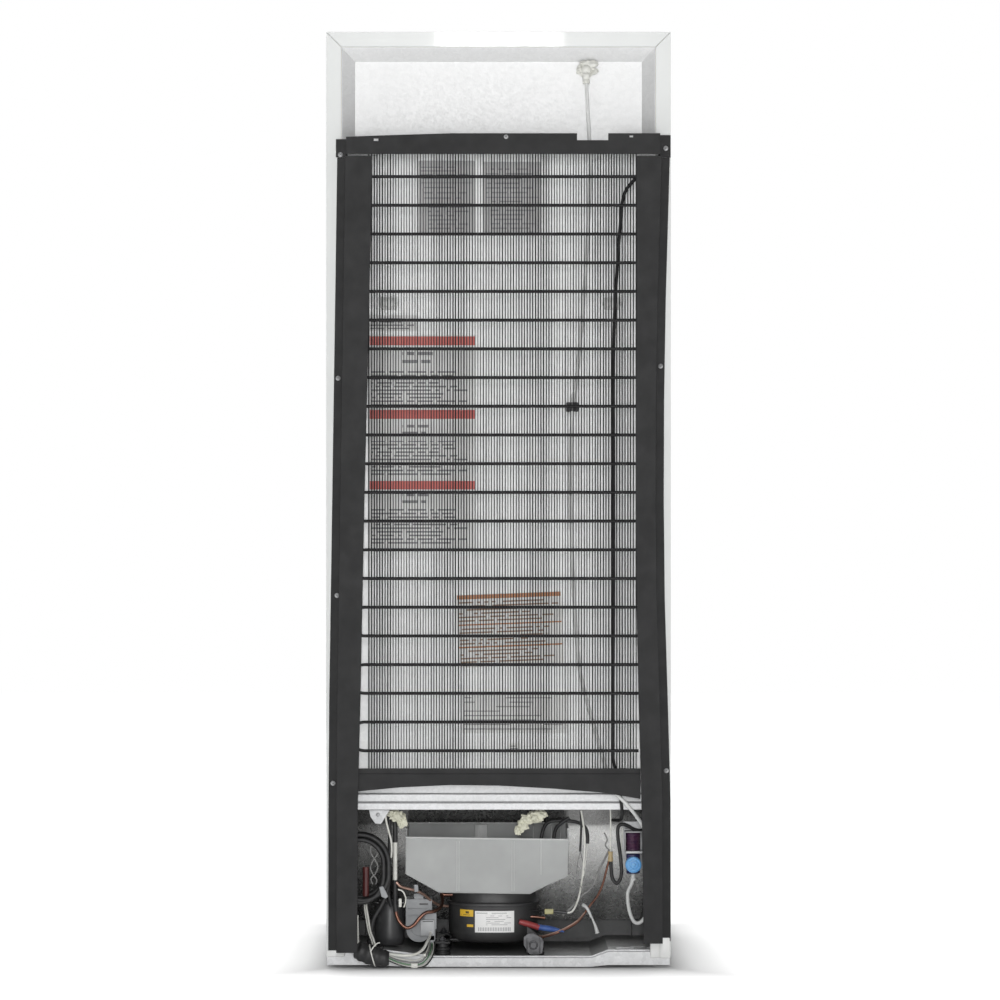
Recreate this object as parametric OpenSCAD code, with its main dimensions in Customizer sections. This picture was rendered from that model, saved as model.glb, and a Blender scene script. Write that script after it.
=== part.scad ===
// Top freezer refrigerator with a wire-on-tube condenser on its back.
// +Z up, doors towards -Y, back towards +Y, origin on the floor under the middle of the object.

/* [Cabinet] */
// Outer width of the cabinet
cabinet_w = 600; // [600:1:604]
// Height of the cabinet above the floor
cabinet_h = 1630; // [1625:1:1640]
// Depth of the cabinet without doors
cabinet_d = 560; // [558:1:562]
// Sheet steel as drawn
sheet = 1.5; // [1.4:0.1:1.6]
// Width of the folded flange round the back
flange_w = 26; // [24:1:28]
// Depth of the dish in the back panel
panel_recess = 23; // [20:1:24]

/* [Doors] */
// Thickness of both doors
door_t = 52; // [50:1:54]
// Gap that the gasket fills
gasket_gap = 12; // [12:0.5:13]
// Height of the joint between the doors
split_z = 1125; // [1125:1:1126]
// Gap between the doors
door_gap = 10; // [10:0.5:11]
// How far the handles stand off the doors
handle_reach = 38; // [36:1:40]

/* [Condenser] */
// How far the condenser frame stands off the cabinet
standoff = 38; // [37:1:39]
// Distance between the tube passes
tube_pitch = 49.8; // [49.5:0.1:50]
// Number of tube passes
tube_passes = 21; // [21:2:21]
// Radius of the condenser tube
tube_r = 2.7; // [2.4:0.1:2.8]
// Distance between the wires
wire_pitch = 4.74; // [4.7:0.01:4.76]
// Number of wires on each side of the tubes
wire_count = 99; // [95:1:99]
// Radius of a wire
wire_r = 0.75; // [0.6:0.05:0.8]

/* [Power cord] */
// Radius of the flexible cord
cord_r = 4.2; // [4:0.1:4.3]

/* [Hidden] */
$fn = 48;

// Main planes
half_w = cabinet_w / 2;
overall_d = handle_reach + door_t + gasket_gap + cabinet_d + standoff;
back_y = overall_d / 2;                 // rearmost face of the condenser frame
rear_y = back_y - standoff;             // outer face of the rear flange
front_y = rear_y - cabinet_d;           // front face of the cabinet
door_back_y = front_y - gasket_gap;
door_front_y = door_back_y - door_t;
foam_rear_y = rear_y - panel_recess - sheet - 1.7;
inner_w = half_w - sheet;               // inner face of a side wall

// Machine compartment at the rear of the base
comp_roof_z = 280;
comp_floor_z = 60;
comp_top_y = rear_y - 173;
comp_low_y = rear_y - 228;

// Inner compartments
liner_t = 2;
liner_x = 258;                          // outer half width of both liners
window_x = 280;                         // half width of the openings in the front frame
freezer_z = [1150, 1572];
fridge_z = [110, 1092];
freezer_back_y = 230;
fridge_back_y = 242;
hump_y = [38, 98];                      // foot and top of the step over the compartment
hump_z = 328;
freezer_window_z = [1140, 1608];
fridge_window_z = [100, 1110];
shelf_levels = [345, 480, 680, 880];
shelf_t = 4;

// Doors and hinge line
pin_x = half_w - 15;
pin_y = door_back_y - door_t / 2;
pin_r = 4;
pin_play = 0.05;
door_r = 14;
cap_t = 3;
freezer_door_z = [split_z + door_gap / 2, cabinet_h - 4];
fridge_door_z = [66, split_z - door_gap / 2];
gasket_x = [274, 288];
dyke_x = 240;
dyke_t = 12;
rack_gap = 0.25;
dyke_y = front_y + 22;

// Condenser plane
tube_y = back_y - 15;
wire_y = tube_r + wire_r + 0.1;
pass_low_z = 380;
pass_high_z = pass_low_z + (tube_passes - 1) * tube_pitch;
pass_x = [-243, 232];
wire_x0 = -239;
wire_z = [334, 1425];
strip_w = 17;                           // part of a rail that lies on the cabinet
// Rail outlines: height, outer edge, inner edge
rail_left = [[31, 296.4, 244.3], [290, 296, 243.4], [465, 294.7, 239], [815, 289.5, 232.1],
             [1165, 284.3, 223.4], [1411, 280.8, 218.2]];
rail_right = [[47, -299.8, -251.2], [290, -299.5, -247.7], [465, -294.7, -242.5],
              [640, -289.5, -239], [815, -287.7, -237.3], [990, -288.3, -237.9],
              [1165, -291.2, -239], [1411, -298.2, -239]];
bar_z = [1414, 1450];
rail_top_z = 1411;
screw_h = 1.6;
bar_y = back_y - screw_h;               // outer face of the top bar

// Base and running gear
pan_mid_z = 17.5;
pan_side_z = 28.5;
pan_lip = [5, 1.8];
pan_rear_y = rear_y - sheet - 0.2;
pan_front_y = comp_low_y - 20;
roller_x = 254;
roller_w = 18;
rear_roller_r = 13;
rear_roller_y = rear_y - 100;
front_roller_r = 16;
front_roller_y = front_y + 52;
axle_r = 3;
foot_x = 281;
foot_y = front_y + 24;
stud_r = 5;

// Colours
white = [0.90, 0.91, 0.90];
galvanised = [0.72, 0.73, 0.73];
frame_black = [0.20, 0.20, 0.20];
plastic_grey = [0.52, 0.54, 0.55];
copper = [0.62, 0.38, 0.28];
clear = [0.80, 0.83, 0.82];

// ---------- shared shapes ----------

// A box between two corners
module box(a, b) {
    translate(a) cube(b - a);
}

// An outline in Y and Z, extruded across X
module across(x0, x1, points) {
    translate([x0, 0, 0]) rotate([90, 0, 90]) linear_extrude(x1 - x0) polygon(points);
}

// An outline in X and Z, extruded along Y
module facing(y0, y1) {
    translate([0, y1, 0]) rotate([90, 0, 0]) linear_extrude(y1 - y0) children();
}

// A rectangle in X and Z between two corners
module panel_2d(a, b) {
    translate(a) square(b - a);
}

// A cylinder along X, Y or Z from a point
module rod_x(p, r, l) {
    translate(p) rotate([0, 90, 0]) cylinder(r = r, h = l);
}
module rod_y(p, r, l) {
    translate(p) rotate([-90, 0, 0]) cylinder(r = r, h = l);
}
module rod_z(p, r, l) {
    translate(p) cylinder(r = r, h = l);
}

// A rectangle with rounded corners
module round_rect(a, b, r) {
    translate([a.x + r, a.y]) square([b.x - a.x - 2 * r, b.y - a.y]);
    translate([a.x, a.y + r]) square([b.x - a.x, b.y - a.y - 2 * r]);
    for (x = [a.x + r, b.x - r], y = [a.y + r, b.y - r])
        translate([x, y]) circle(r = r);
}

// A smooth curve through points: Catmull-Rom, with a number of steps per span
function spline_at(p0, p1, p2, p3, t) =
    0.5 * (2 * p1 + (p2 - p0) * t + (2 * p0 - 5 * p1 + 4 * p2 - p3) * t * t
           + (3 * p1 - p0 - 3 * p2 + p3) * t * t * t);
function smooth(p, steps) = let (n = len(p) - 1) concat(
    [for (i = [0 : n - 1], k = [0 : steps - 1])
        spline_at(p[max(i - 1, 0)], p[i], p[i + 1], p[min(i + 2, n)], k / steps)], [p[n]]);

function unit(v) = v / norm(v);
function heading(p, i) = unit(p[min(i + 1, len(p) - 1)] - p[max(i - 1, 0)]);
// The side direction is carried along the path, so that the tube never twists
function sides_of(p, i = 0, last = [0, 0, 0], out = []) =
    i == len(p) ? out :
    let (t = heading(p, i),
         s0 = norm(last) > 0 ? last : (abs(t.z) < 0.9 ? [0, 0, 1] : [0, 1, 0]),
         s = unit(s0 - (s0 * t) * t))
    sides_of(p, i + 1, s, concat(out, [s]));

// A round tube swept along points, as one closed polyhedron
module sweep(p, r, n = 8) {
    s = sides_of(p);
    rings = len(p);
    points = [for (i = [0 : rings - 1]) let (t = heading(p, i), b = cross(t, s[i]))
        for (k = [0 : n - 1]) p[i] + r * (cos(k * 360 / n) * s[i] + sin(k * 360 / n) * b)];
    skin = [for (i = [0 : rings - 2], k = [0 : n - 1]) let (a = i * n + k, b = i * n + (k + 1) % n)
        each [[a, b + n, b], [a, a + n, b + n]]];
    ends = [[for (k = [0 : n - 1]) k], [for (k = [n - 1 : -1 : 0]) (rings - 1) * n + k]];
    polyhedron(points, concat(skin, ends));
}

// ---------- cabinet ----------

module front_windows_2d() {
    panel_2d([-window_x, freezer_window_z[0]], [window_x, freezer_window_z[1]]);
    panel_2d([-window_x, fridge_window_z[0]], [window_x, fridge_window_z[1]]);
}

module cabinet_wrapper() color(white) difference() {
    union() {
        for (s = [-1, 1])
            box([s > 0 ? inner_w : -half_w, front_y, 20], [s > 0 ? half_w : -inner_w, rear_y, cabinet_h]);
        box([-half_w, front_y, cabinet_h - sheet], [half_w, rear_y, cabinet_h]);
        facing(front_y, front_y + sheet) difference() {
            panel_2d([-half_w, 60], [half_w, cabinet_h]);
            front_windows_2d();
        }
        facing(rear_y - sheet, rear_y) difference() {
            panel_2d([-half_w, 20], [half_w, cabinet_h]);
            panel_2d([flange_w - half_w, 19], [half_w - flange_w, cabinet_h - flange_w]);
        }
    }
    // Mitred seams in the rear flange
    for (s = [-1, 1])
        translate([s * half_w, rear_y - sheet / 2, cabinet_h])
            rotate([0, s * 45, 0])
                translate([-0.3, -sheet, -1.42 * flange_w]) cube([0.6, 2 * sheet, 1.42 * flange_w - 3]);
    // Seat of the door switch
    rod_y([-200, front_y - 1, split_z], 6, sheet + 2);
}

// A block with sloping sides: half width and top at two depths
module dished_block(ya, xa, za, yb, xb, zb, z0) {
    p = [[-xa, ya, z0], [xa, ya, z0], [xa, ya, za], [-xa, ya, za],
         [-xb, yb, z0], [xb, yb, z0], [xb, yb, zb], [-xb, yb, zb]];
    polyhedron(p, [[0, 1, 2, 3], [7, 6, 5, 4], [4, 5, 1, 0], [5, 6, 2, 1], [6, 7, 3, 2], [7, 4, 0, 3]]);
}

module rear_panel() color(galvanised) {
    x = half_w - flange_w - 0.5;
    z = cabinet_h - flange_w - 0.5;
    y = rear_y - sheet - 0.5;
    d = panel_recess - 0.5;
    difference() {
        dished_block(y, x, z, y - d - 1.2, x - 23, z - 23, comp_roof_z);
        dished_block(y + 1.2, x, z, y - d, x - 23, z - 23, comp_roof_z - 1);
    }
}

foam_profile = [[front_y + sheet, comp_floor_z + sheet], [comp_low_y - sheet, comp_floor_z + sheet],
                [comp_top_y - sheet, comp_roof_z], [foam_rear_y, comp_roof_z],
                [foam_rear_y, cabinet_h - sheet], [front_y + sheet, cabinet_h - sheet]];

// Section of the fridge compartment, grown outwards by g
function fridge_profile(g, y0) =
    [[y0, fridge_z[0] - g], [hump_y[0] + g, fridge_z[0] - g], [hump_y[1] + g, hump_z - g],
     [fridge_back_y + g, hump_z - g], [fridge_back_y + g, fridge_z[1] + g], [y0, fridge_z[1] + g]];

module insulation_foam() color([0.93, 0.90, 0.72]) difference() {
    across(-inner_w, inner_w, foam_profile);
    box([-liner_x, front_y, freezer_z[0]], [liner_x, freezer_back_y, freezer_z[1]]);
    across(-liner_x, liner_x, fridge_profile(0, front_y));
    rod_y([-200, front_y, split_z], 9, 34);
}

module freezer_liner() color(white) {
    difference() {
        union() {
            box([-liner_x, front_y + sheet, freezer_z[0]], [liner_x, freezer_back_y, freezer_z[1]]);
            facing(front_y, front_y + sheet)
                panel_2d([-window_x, freezer_window_z[0]], [window_x, freezer_window_z[1]]);
        }
        box([liner_t - liner_x, front_y - 1, freezer_z[0] + liner_t],
            [liner_x - liner_t, freezer_back_y - liner_t, freezer_z[1] - liner_t]);
    }
    for (s = [-1, 1])
        box([s > 0 ? liner_x - 12 : liner_t - liner_x, -140, 1328],
            [s > 0 ? liner_x - liner_t : 12 - liner_x, 175, 1334]);
}

module fridge_liner() color(white) {
    difference() {
        union() {
            across(-liner_x, liner_x, fridge_profile(0, front_y + sheet));
            facing(front_y, front_y + sheet)
                panel_2d([-window_x, fridge_window_z[0]], [window_x, fridge_window_z[1]]);
        }
        across(liner_t - liner_x, liner_x - liner_t, fridge_profile(-liner_t, front_y - 1));
    }
    for (z = shelf_levels, s = [-1, 1])
        box([s > 0 ? liner_x - 10 : liner_t - liner_x, -150, z - 8],
            [s > 0 ? liner_x - liner_t : 10 - liner_x, 225, z]);
}

module compartment_shield() color(galvanised)
    across(-inner_w, inner_w,
        [[front_y + sheet, comp_floor_z], [comp_low_y, comp_floor_z], [comp_top_y, comp_roof_z - sheet],
         [rear_y - sheet - 12, comp_roof_z - sheet], [rear_y - sheet - 12, comp_roof_z],
         [comp_top_y - sheet, comp_roof_z], [comp_low_y - sheet, comp_floor_z + sheet],
         [front_y + sheet, comp_floor_z + sheet]]);

// Folded rail across the top of the machine compartment
module cross_rail() color(galvanised) {
    x = half_w - flange_w - 25;
    across(-x, x,
        [[rear_y - 12, comp_roof_z + 0.5], [rear_y - 12, 318], [rear_y - 10, 318], [rear_y - 10, 304],
         [rear_y - 4, 302], [rear_y - 4, 290], [rear_y + 2, 287], [rear_y + 2, 276],
         [rear_y - 8, 276], [rear_y - 8, 278], [rear_y, 278], [rear_y, 285.5], [rear_y - 6, 288.5],
         [rear_y - 6, 300.5], [rear_y - 11, 302], [rear_y - 11, comp_roof_z + 0.5]]);
}

// ---------- base ----------

// Height of the pan floor across its width, as an outline of the given thickness
function pan_line(lift) = [[-inner_w, pan_side_z + lift], [-191, pan_side_z + lift],
    [-162, pan_mid_z + lift], [113, pan_mid_z + lift], [200, pan_side_z + lift], [inner_w, pan_side_z + lift]];
function lip_line() = [[-inner_w, pan_lip[0]], [-191, pan_lip[0]], [-160, pan_lip[1]], [158, pan_lip[1]],
    [215, pan_lip[0]], [inner_w, pan_lip[0]]];
function flipped(p) = [for (i = [len(p) - 1 : -1 : 0]) p[i]];

module front_leg() {
    // Channel from the front to the tray, which holds the roller and the foot
    for (x = [roller_x - 14, roller_x + 11])
        box([x, front_y + 8, 12], [x + sheet, front_y + 92, comp_floor_z - 2]);
    box([roller_x - 14, front_y + 8, comp_floor_z - 2 - sheet], [inner_w, comp_low_y - 2, comp_floor_z - 2]);
    difference() {
        box([roller_x + 11, front_y + 8, 36], [inner_w, front_y + 40, 40]);
        rod_z([foot_x, foot_y, 30], stud_r + 0.05, 20);
    }
    rod_x([roller_x - 14, front_roller_y, front_roller_r + 1], axle_r, 26);
}

module rear_leg() {
    for (x = [roller_x - 14, roller_x + 11])
        box([x, rear_roller_y - 11, 7], [x + sheet, rear_roller_y + 11, pan_side_z - sheet]);
    rod_x([roller_x - 14, rear_roller_y, rear_roller_r], axle_r, 26);
}

module base_pan() color(galvanised) {
    difference() {
        union() {
            facing(pan_front_y, pan_rear_y) polygon(concat(pan_line(0), flipped(pan_line(-sheet))));
            facing(pan_rear_y - sheet, pan_rear_y) polygon(concat(pan_line(0), flipped(lip_line())));
            // Upturned front edge, which closes the compartment below the shield
            facing(pan_front_y, pan_front_y + sheet)
                polygon(concat(pan_line(-sheet), [[inner_w, comp_floor_z - 1], [-inner_w, comp_floor_z - 1]]));
        }
        // Slots in the floor, two long and one for the valve bracket
        for (x = [-245, -205])
            box([x - 12, rear_y - 80, 10], [x + 12, rear_y - 72, 40]);
    }
    for (s = [-1, 1]) mirror([s > 0 ? 0 : 1, 0, 0]) {
        box([inner_w - sheet, pan_front_y, pan_side_z], [inner_w, pan_rear_y, comp_floor_z - 6]);
        front_leg();
        rear_leg();
    }
    box([-roller_x + 14, front_y + 8, 20], [roller_x - 14, front_y + 8 + sheet, comp_floor_z - 2]);
    // Bead that stiffens the rear edge, and cross ribs on the raised sides
    facing(rear_y - 16, rear_y - 9) polygon(concat(pan_line(3), flipped(pan_line(-0.5))));
    for (x = [-276, -222, 238])
        box([x - 16, rear_y - 52, pan_side_z - 0.5], [x + 16, rear_y - 45, pan_side_z + 2.5]);
    // Rest that the tray rides on between the channels and its front edge
    for (s = [-1, 1]) mirror([s > 0 ? 0 : 1, 0, 0])
        box([roller_x - 14, pan_front_y, pan_side_z - sheet],
            [roller_x - 14 + sheet, comp_low_y - 2, comp_floor_z - 2]);
}

module roller(r, y, z) {
    for (s = [-1, 1]) difference() {
        union() {
            rod_x([s * roller_x - roller_w / 2, y, z], r, roller_w);
        }
        rod_x([s * roller_x - roller_w, y, z], axle_r + 0.05, 2 * roller_w);
        for (d = [-1, 1])
            rod_x([s * roller_x + d * roller_w / 2 - 3, y, z], r - 4, 6);
    }
    // Hub rings that keep the wheel running true on its axle
    for (s = [-1, 1]) difference() {
        rod_x([s * roller_x - roller_w / 2, y, z], axle_r + 3, roller_w);
        rod_x([s * roller_x - roller_w, y, z], axle_r + 0.05, 2 * roller_w);
    }
}

module front_rollers() color([0.25, 0.25, 0.25]) roller(front_roller_r, front_roller_y, front_roller_r + 1);
module rear_rollers() color([0.25, 0.25, 0.25]) roller(rear_roller_r, rear_roller_y, rear_roller_r);

module levelling_foot(s) color([0.3, 0.3, 0.3]) {
    rod_z([s * foot_x, foot_y, 5], stud_r, 49);
    rod_z([s * foot_x, foot_y, 0], 14, 6);
    translate([s * foot_x, foot_y, 5.5]) cylinder(r = 9, h = 6, $fn = 6);
}

module kick_grille() color(white) difference() {
    union() {
        box([-296, front_y - 6, 10], [296, front_y - 3, 54]);
        for (s = [-1, 1])
            box([s * 120 - 10, front_y - 4, 28], [s * 120 + 10, front_y + 8, 36]);
    }
    for (z = [17 : 8 : 42], i = [-4 : 4])
        box([i * 60 - 26, front_y - 8, z], [i * 60 + 26, front_y - 1, z + 3]);
}

// ---------- hinges ----------

module top_hinge() {
    difference() {
        box([248, pin_y - 13, cabinet_h], [298, front_y + 60, cabinet_h + 3]);
        for (y = [front_y + 18, front_y + 46])
            rod_z([265, y, cabinet_h - 1], 2.6, 6);
    }
    rod_z([pin_x, pin_y, cabinet_h - 16], pin_r, 17);
}

module centre_hinge() {
    box([262, pin_y - 13, split_z - sheet], [298, front_y, split_z + sheet]);
    difference() {
        box([236, front_y - sheet, split_z - 6.5], [298, front_y, split_z + 6.5]);
        rod_y([250, front_y - 3, split_z], 2.6, 6);
    }
    rod_z([pin_x, pin_y, split_z - 12], pin_r, 24);
}

module bottom_hinge() {
    box([248, pin_y - 13, comp_floor_z - 2], [298, front_y, comp_floor_z + 2]);
    box([248, front_y - sheet, comp_floor_z], [298, front_y, comp_floor_z + 21]);
    rod_z([pin_x, pin_y, comp_floor_z], pin_r, 18);
}

module hinges() color(galvanised) {
    top_hinge();
    centre_hinge();
    bottom_hinge();
}

// ---------- doors ----------

// Plan of a door, shrunk by g on its front and sides
module door_plan(g, y_back) {
    r = door_r - g;
    x = half_w - g;
    y = door_front_y + g;
    translate([-x, y + r]) square([2 * x, y_back - y - r]);
    translate([-x + r, y]) square([2 * (x - r), r + 1]);
    for (s = [-1, 1]) translate([s * (x - r), y + r]) circle(r = r);
}

module slab(z, g, y_back) {
    translate([0, 0, z[0]]) linear_extrude(z[1] - z[0]) door_plan(g, y_back);
}

module door_skin(z) color(white) difference() {
    union() {
        difference() {
            slab(z, 0, door_back_y);
            slab([z[0] + cap_t, z[1] - cap_t], sheet, door_back_y + 1);
        }
    }
    rod_z([pin_x, pin_y, z[0] - 1], pin_r + pin_play, z[1] - z[0] + 2);
}

module door_foam(z) color([0.93, 0.90, 0.72]) difference() {
    slab([z[0] + cap_t, z[1] - cap_t], sheet, door_back_y - 2);
    for (e = [z[0], z[1] - 20])
        rod_z([pin_x, pin_y, e], pin_r + 2, 20);
}

// Frame with a rectangular section, facing along Y
module ring_frame(x_out, x_in, z_out, z_in, y0, y1) {
    facing(y0, y1) difference() {
        panel_2d([-x_out, z_out[0]], [x_out, z_out[1]]);
        panel_2d([-x_in, z_in[0]], [x_in, z_in[1]]);
    }
}

// Back plate of a door, with the raised dyke that fills the doorway
module liner_plate(z)
    box([-inner_w, door_back_y - 2, z[0] + cap_t], [inner_w, door_back_y, z[1] - cap_t]);

module dyke_frame(dyke)
    ring_frame(dyke_x, dyke_x - dyke_t, dyke, [dyke[0] + dyke_t, dyke[1] - dyke_t], door_back_y, dyke_y);

// Open tray on the inside of a door
module door_tray(x0, x1, z, depth, lip, y0 = door_back_y) {
    box([x0, y0, z], [x1, y0 + depth, z + 3]);
    box([x0, y0 + depth - 3, z], [x1, y0 + depth, z + lip]);
    for (x = [x0, x1 - 3])
        box([x, y0, z], [x + 3, y0 + depth, z + lip]);
}

freezer_dyke = [1168, 1556];
fridge_dyke = [128, 1074];

module freezer_door() door_skin(freezer_door_z);
module fridge_door() door_skin(fridge_door_z);
module freezer_door_foam() door_foam(freezer_door_z);
module fridge_door_foam() door_foam(fridge_door_z);

module freezer_door_liner() color(white) liner_plate(freezer_door_z);

// Insert that clips onto the liner: the dyke frame, and two racks between its sides
module freezer_door_racks() color(white) {
    dyke_frame(freezer_dyke);
    for (z = [1190, 1370])
        door_tray(-dyke_x + dyke_t + rack_gap, dyke_x - dyke_t - rack_gap, z, 84, 60);
}

module fridge_door_liner() color(white) {
    liner_plate(fridge_door_z);
    dyke_frame(fridge_dyke);
    // Ears that carry the lid of the dairy box
    for (x = [14, 225.5]) difference() {
        box([x, door_back_y, dairy_axis[1] - 6], [x + 4.5, dairy_axis[0] + 6, dairy_axis[1] + 6]);
        rod_x([x - 1, dairy_axis[0], dairy_axis[1]], lid_pin_r + pin_play, 7);
    }
}

module gasket(z_out) color([0.86, 0.87, 0.86])
    ring_frame(gasket_x[1], gasket_x[0], z_out, [z_out[0] + 14, z_out[1] - 14], door_back_y, front_y - 0.5);

module freezer_gasket() gasket([split_z + 9, 1616]);
module fridge_gasket() gasket([84, split_z - 9]);

module handle(z) color(white) {
    r = 9;
    x = -half_w + 30;
    y = door_front_y - handle_reach + r;
    rod_z([x, y, z[0] + r], r, z[1] - z[0] - 2 * r);
    for (e = [z[0] + r, z[1] - r]) {
        translate([x, y, e]) sphere(r = r);
    }
    for (e = [z[0] + 22, z[1] - 22])
        rod_y([x, y, e], 7, door_front_y - y);
}

module freezer_handle() handle([1160, 1400]);
module fridge_handle() handle([760, 1090]);

bin_y = door_back_y + 0.5;
dairy_z = [860, 940];
module door_bins() color(clear) {
    for (z = [390, 610])
        door_tray(3 - dyke_x + dyke_t, dyke_x - dyke_t - 3, z, 92, 75, bin_y);
    // Open-topped dairy box in the hinge-side corner
    difference() {
        box([20, bin_y, dairy_z[0]], [225, bin_y + 78, dairy_z[1]]);
        box([23, bin_y + 3, dairy_z[0] + 3], [222, bin_y + 75, dairy_z[1] + 1]);
    }
}

// Lid of the dairy box, hinged along its rear top edge
dairy_axis = [bin_y + 6, dairy_z[1] + 7];
lid_pin_r = 3;
module dairy_cover() color(clear) {
    box([20, bin_y + 6, dairy_z[1] + 3], [225, bin_y + 86, dairy_z[1] + 6]);
    box([20, bin_y + 83, dairy_z[1] - 30], [225, bin_y + 86, dairy_z[1] + 6]);
    rod_x([15, dairy_axis[0], dairy_axis[1]], lid_pin_r, 212.5);
}

// ---------- inside ----------

module evaporator() color([0.80, 0.81, 0.82]) {
    for (i = [0 : 17])
        box([-190 + i * 22, 192, 1180], [-189 + i * 22, 222, 1400]);
    for (k = [0 : 5])
        rod_x([-205, 207, 1200 + k * 36], 4, 410);
    for (k = [0 : 4])
        translate([k % 2 == 0 ? 205 : -205, 207, 1218 + k * 36])
            rotate([90, 0, 0]) rotate([0, 0, k % 2 == 0 ? -90 : 90])
                rotate_extrude(angle = 180) translate([18, 0]) circle(r = 4);
}

fan_z = 1492;
module evaporator_cover() color(white) difference() {
    box([-254, 180, 1154], [254, 183, 1568]);
    for (k = [0 : 5], a = [0 : 3])
        translate([0, 178, fan_z]) rotate([0, a * 90, 0])
            box([10, 0, -40 + k * 16], [sqrt(pow(50, 2) - pow(-36 + k * 16, 2) + 1), 7, -32 + k * 16]);
    for (i = [-6 : 6])
        box([i * 34 - 12, 178, 1166], [i * 34 + 12, 185, 1172]);
}

module fan_motor() color(plastic_grey) {
    rod_y([0, 201, fan_z], 22, 27);
    rod_y([0, 190, fan_z], 2.5, 12);
}

module fan_blade() color([0.85, 0.86, 0.88]) difference() {
    union() {
        rod_y([0, 187, fan_z], 13, 10);
        for (a = [0 : 72 : 288])
            translate([0, 192, fan_z]) rotate([0, a, 0]) rotate([32, 0, 0])
                box([9, -1, -11], [46, 1, 11]);
    }
    rod_y([0, 189, fan_z], 2.55, 12);
}

module freezer_shelf() color([0.92, 0.92, 0.92]) {
    for (i = [0 : 19])
        rod_y([-237.5 + i * 25, -140, 1339.5], 1.6, 312);
    for (y = [-136, 15, 166])
        rod_x([-252, y, 1336.5], 2, 504);
}

module glass_shelves() color([0.75, 0.85, 0.83]) {
    for (i = [0 : 3])
        box([-254, i == 0 ? -160 : -150, shelf_levels[i]], [254, 228, shelf_levels[i] + shelf_t]);
}

module control_housing() color(white) difference() {
    box([-120, -180, 1052], [120, -40, 1089.5]);
    box([-117, -177, 1055], [117, -43, 1087]);
    for (x = [-62, 62])
        rod_y([x, -182, 1070], 3.05, 10);
    rod_y([0, -50, 1070], 9, 15);
}

module lamp() color([0.97, 0.95, 0.88]) {
    rod_y([0, -60, 1070], 8.5, 40);
    rod_y([0, -40, 1070], 12, 6);
    translate([0, -10, 1070]) sphere(r = 14);
}

module dial(x) color([0.88, 0.89, 0.88]) {
    rod_y([x, -192, 1070], 16, 11);
    box([x - 2.5, -198, 1057], [x + 2.5, -191, 1083]);
    rod_y([x, -182, 1070], 3, 14);
}
module fridge_dial() dial(62);
module freezer_dial() dial(-62);

module door_switch() color(white) {
    rod_y([-200, front_y - 8, split_z], 5.95, 26);
}

module crisper_drawer() color(clear) difference() {
    union() {
        box([-215, -144.5, 112.5], [215, 24, 322]);
        box([-222, -150, 112.5], [222, -144, 330]);
    }
    box([-212, -141.5, 115.5], [212, 21, 340]);
    box([-60, -154, 300], [60, -147, 312]);
}

// ---------- condenser ----------

function outer_line(r, inset) = [for (s = r) [s[1] - sign(s[1]) * inset, s[0]]];
function inner_line(r) = [for (s = r) [s[2], s[0]]];

module rail(r, steps) color(frame_black) {
    // Strip on the cabinet, web that stands off it, and the wide face
    facing(rear_y, rear_y + sheet)
        polygon(concat(outer_line(r, 0), flipped(outer_line(r, strip_w))));
    facing(rear_y, back_y)
        polygon(concat(outer_line(r, strip_w - sheet), flipped(outer_line(r, strip_w))));
    facing(back_y - sheet, back_y)
        polygon(concat(outer_line(r, strip_w - sheet), flipped(inner_line(r))));
}

module condenser_rail_left() rail(rail_left);
module condenser_rail_right() rail(rail_right);

module condenser_top_bar() color(frame_black) difference() {
    union() {
        facing(bar_y - sheet, bar_y)
            polygon([[264, bar_z[0]], [264, 1444], [180, 1447], [80, bar_z[1]], [-280, bar_z[1]],
                     [-280, bar_z[0]]]);
        // End webs and ears on the cabinet flange
        box([264 - sheet, rear_y + sheet, bar_z[0]], [264, bar_y, 1444]);
        box([-280, rear_y + sheet, bar_z[0]], [-280 + sheet, bar_y, bar_z[1]]);
        box([264 - sheet, rear_y + sheet, rail_top_z + 0.2], [283, rear_y + 2 * sheet, 1443]);
        box([-299.5, rear_y + sheet, rail_top_z + 0.2], [-280 + sheet, rear_y + 2 * sheet, bar_z[1]]);
    }
    // Notch for the water line and two slots
    box([-190, back_y - 5, 1438], [-136, back_y + 1, bar_z[1] + 1]);
    box([208, back_y - 5, 1436.6], [216, back_y + 1, 1440.6]);
    box([-233, back_y - 5, 1443], [-227, back_y + 1, 1446]);
}

module condenser_bottom_bar() color(frame_black) {
    y = back_y - 9;
    top_z = 350;
    facing(y, y + sheet)
        polygon([[243, top_z], [243, 310], [170, 317], [84, 321], [0, 320], [-92, 315], [-179, 308],
                 [-246, 297], [-246, top_z]]);
    // Rolled bead that stiffens the upper edge
    box([-246, y + sheet, 339.5], [243, y + sheet + 0.9, 341]);
}

module condenser_tube() color(frame_black) {
    run = pass_x[1] - pass_x[0];
    r = tube_pitch / 2;
    for (k = [0 : tube_passes - 1])
        rod_x([pass_x[0], tube_y, pass_low_z + k * tube_pitch], tube_r, run);
    for (k = [0 : tube_passes - 2])
        translate([pass_x[k % 2 == 0 ? 1 : 0], tube_y, pass_low_z + (k + 0.5) * tube_pitch])
            rotate([90, 0, 0]) rotate([0, 0, k % 2 == 0 ? -90 : 90])
                rotate_extrude(angle = 180) translate([r, 0]) circle(r = tube_r);
}

module condenser_wires() color(frame_black)
    for (i = [0 : wire_count - 1], s = [-1, 1])
        rod_z([wire_x0 + i * wire_pitch, tube_y + s * wire_y, wire_z[0]], wire_r, wire_z[1] - wire_z[0]);

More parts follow.
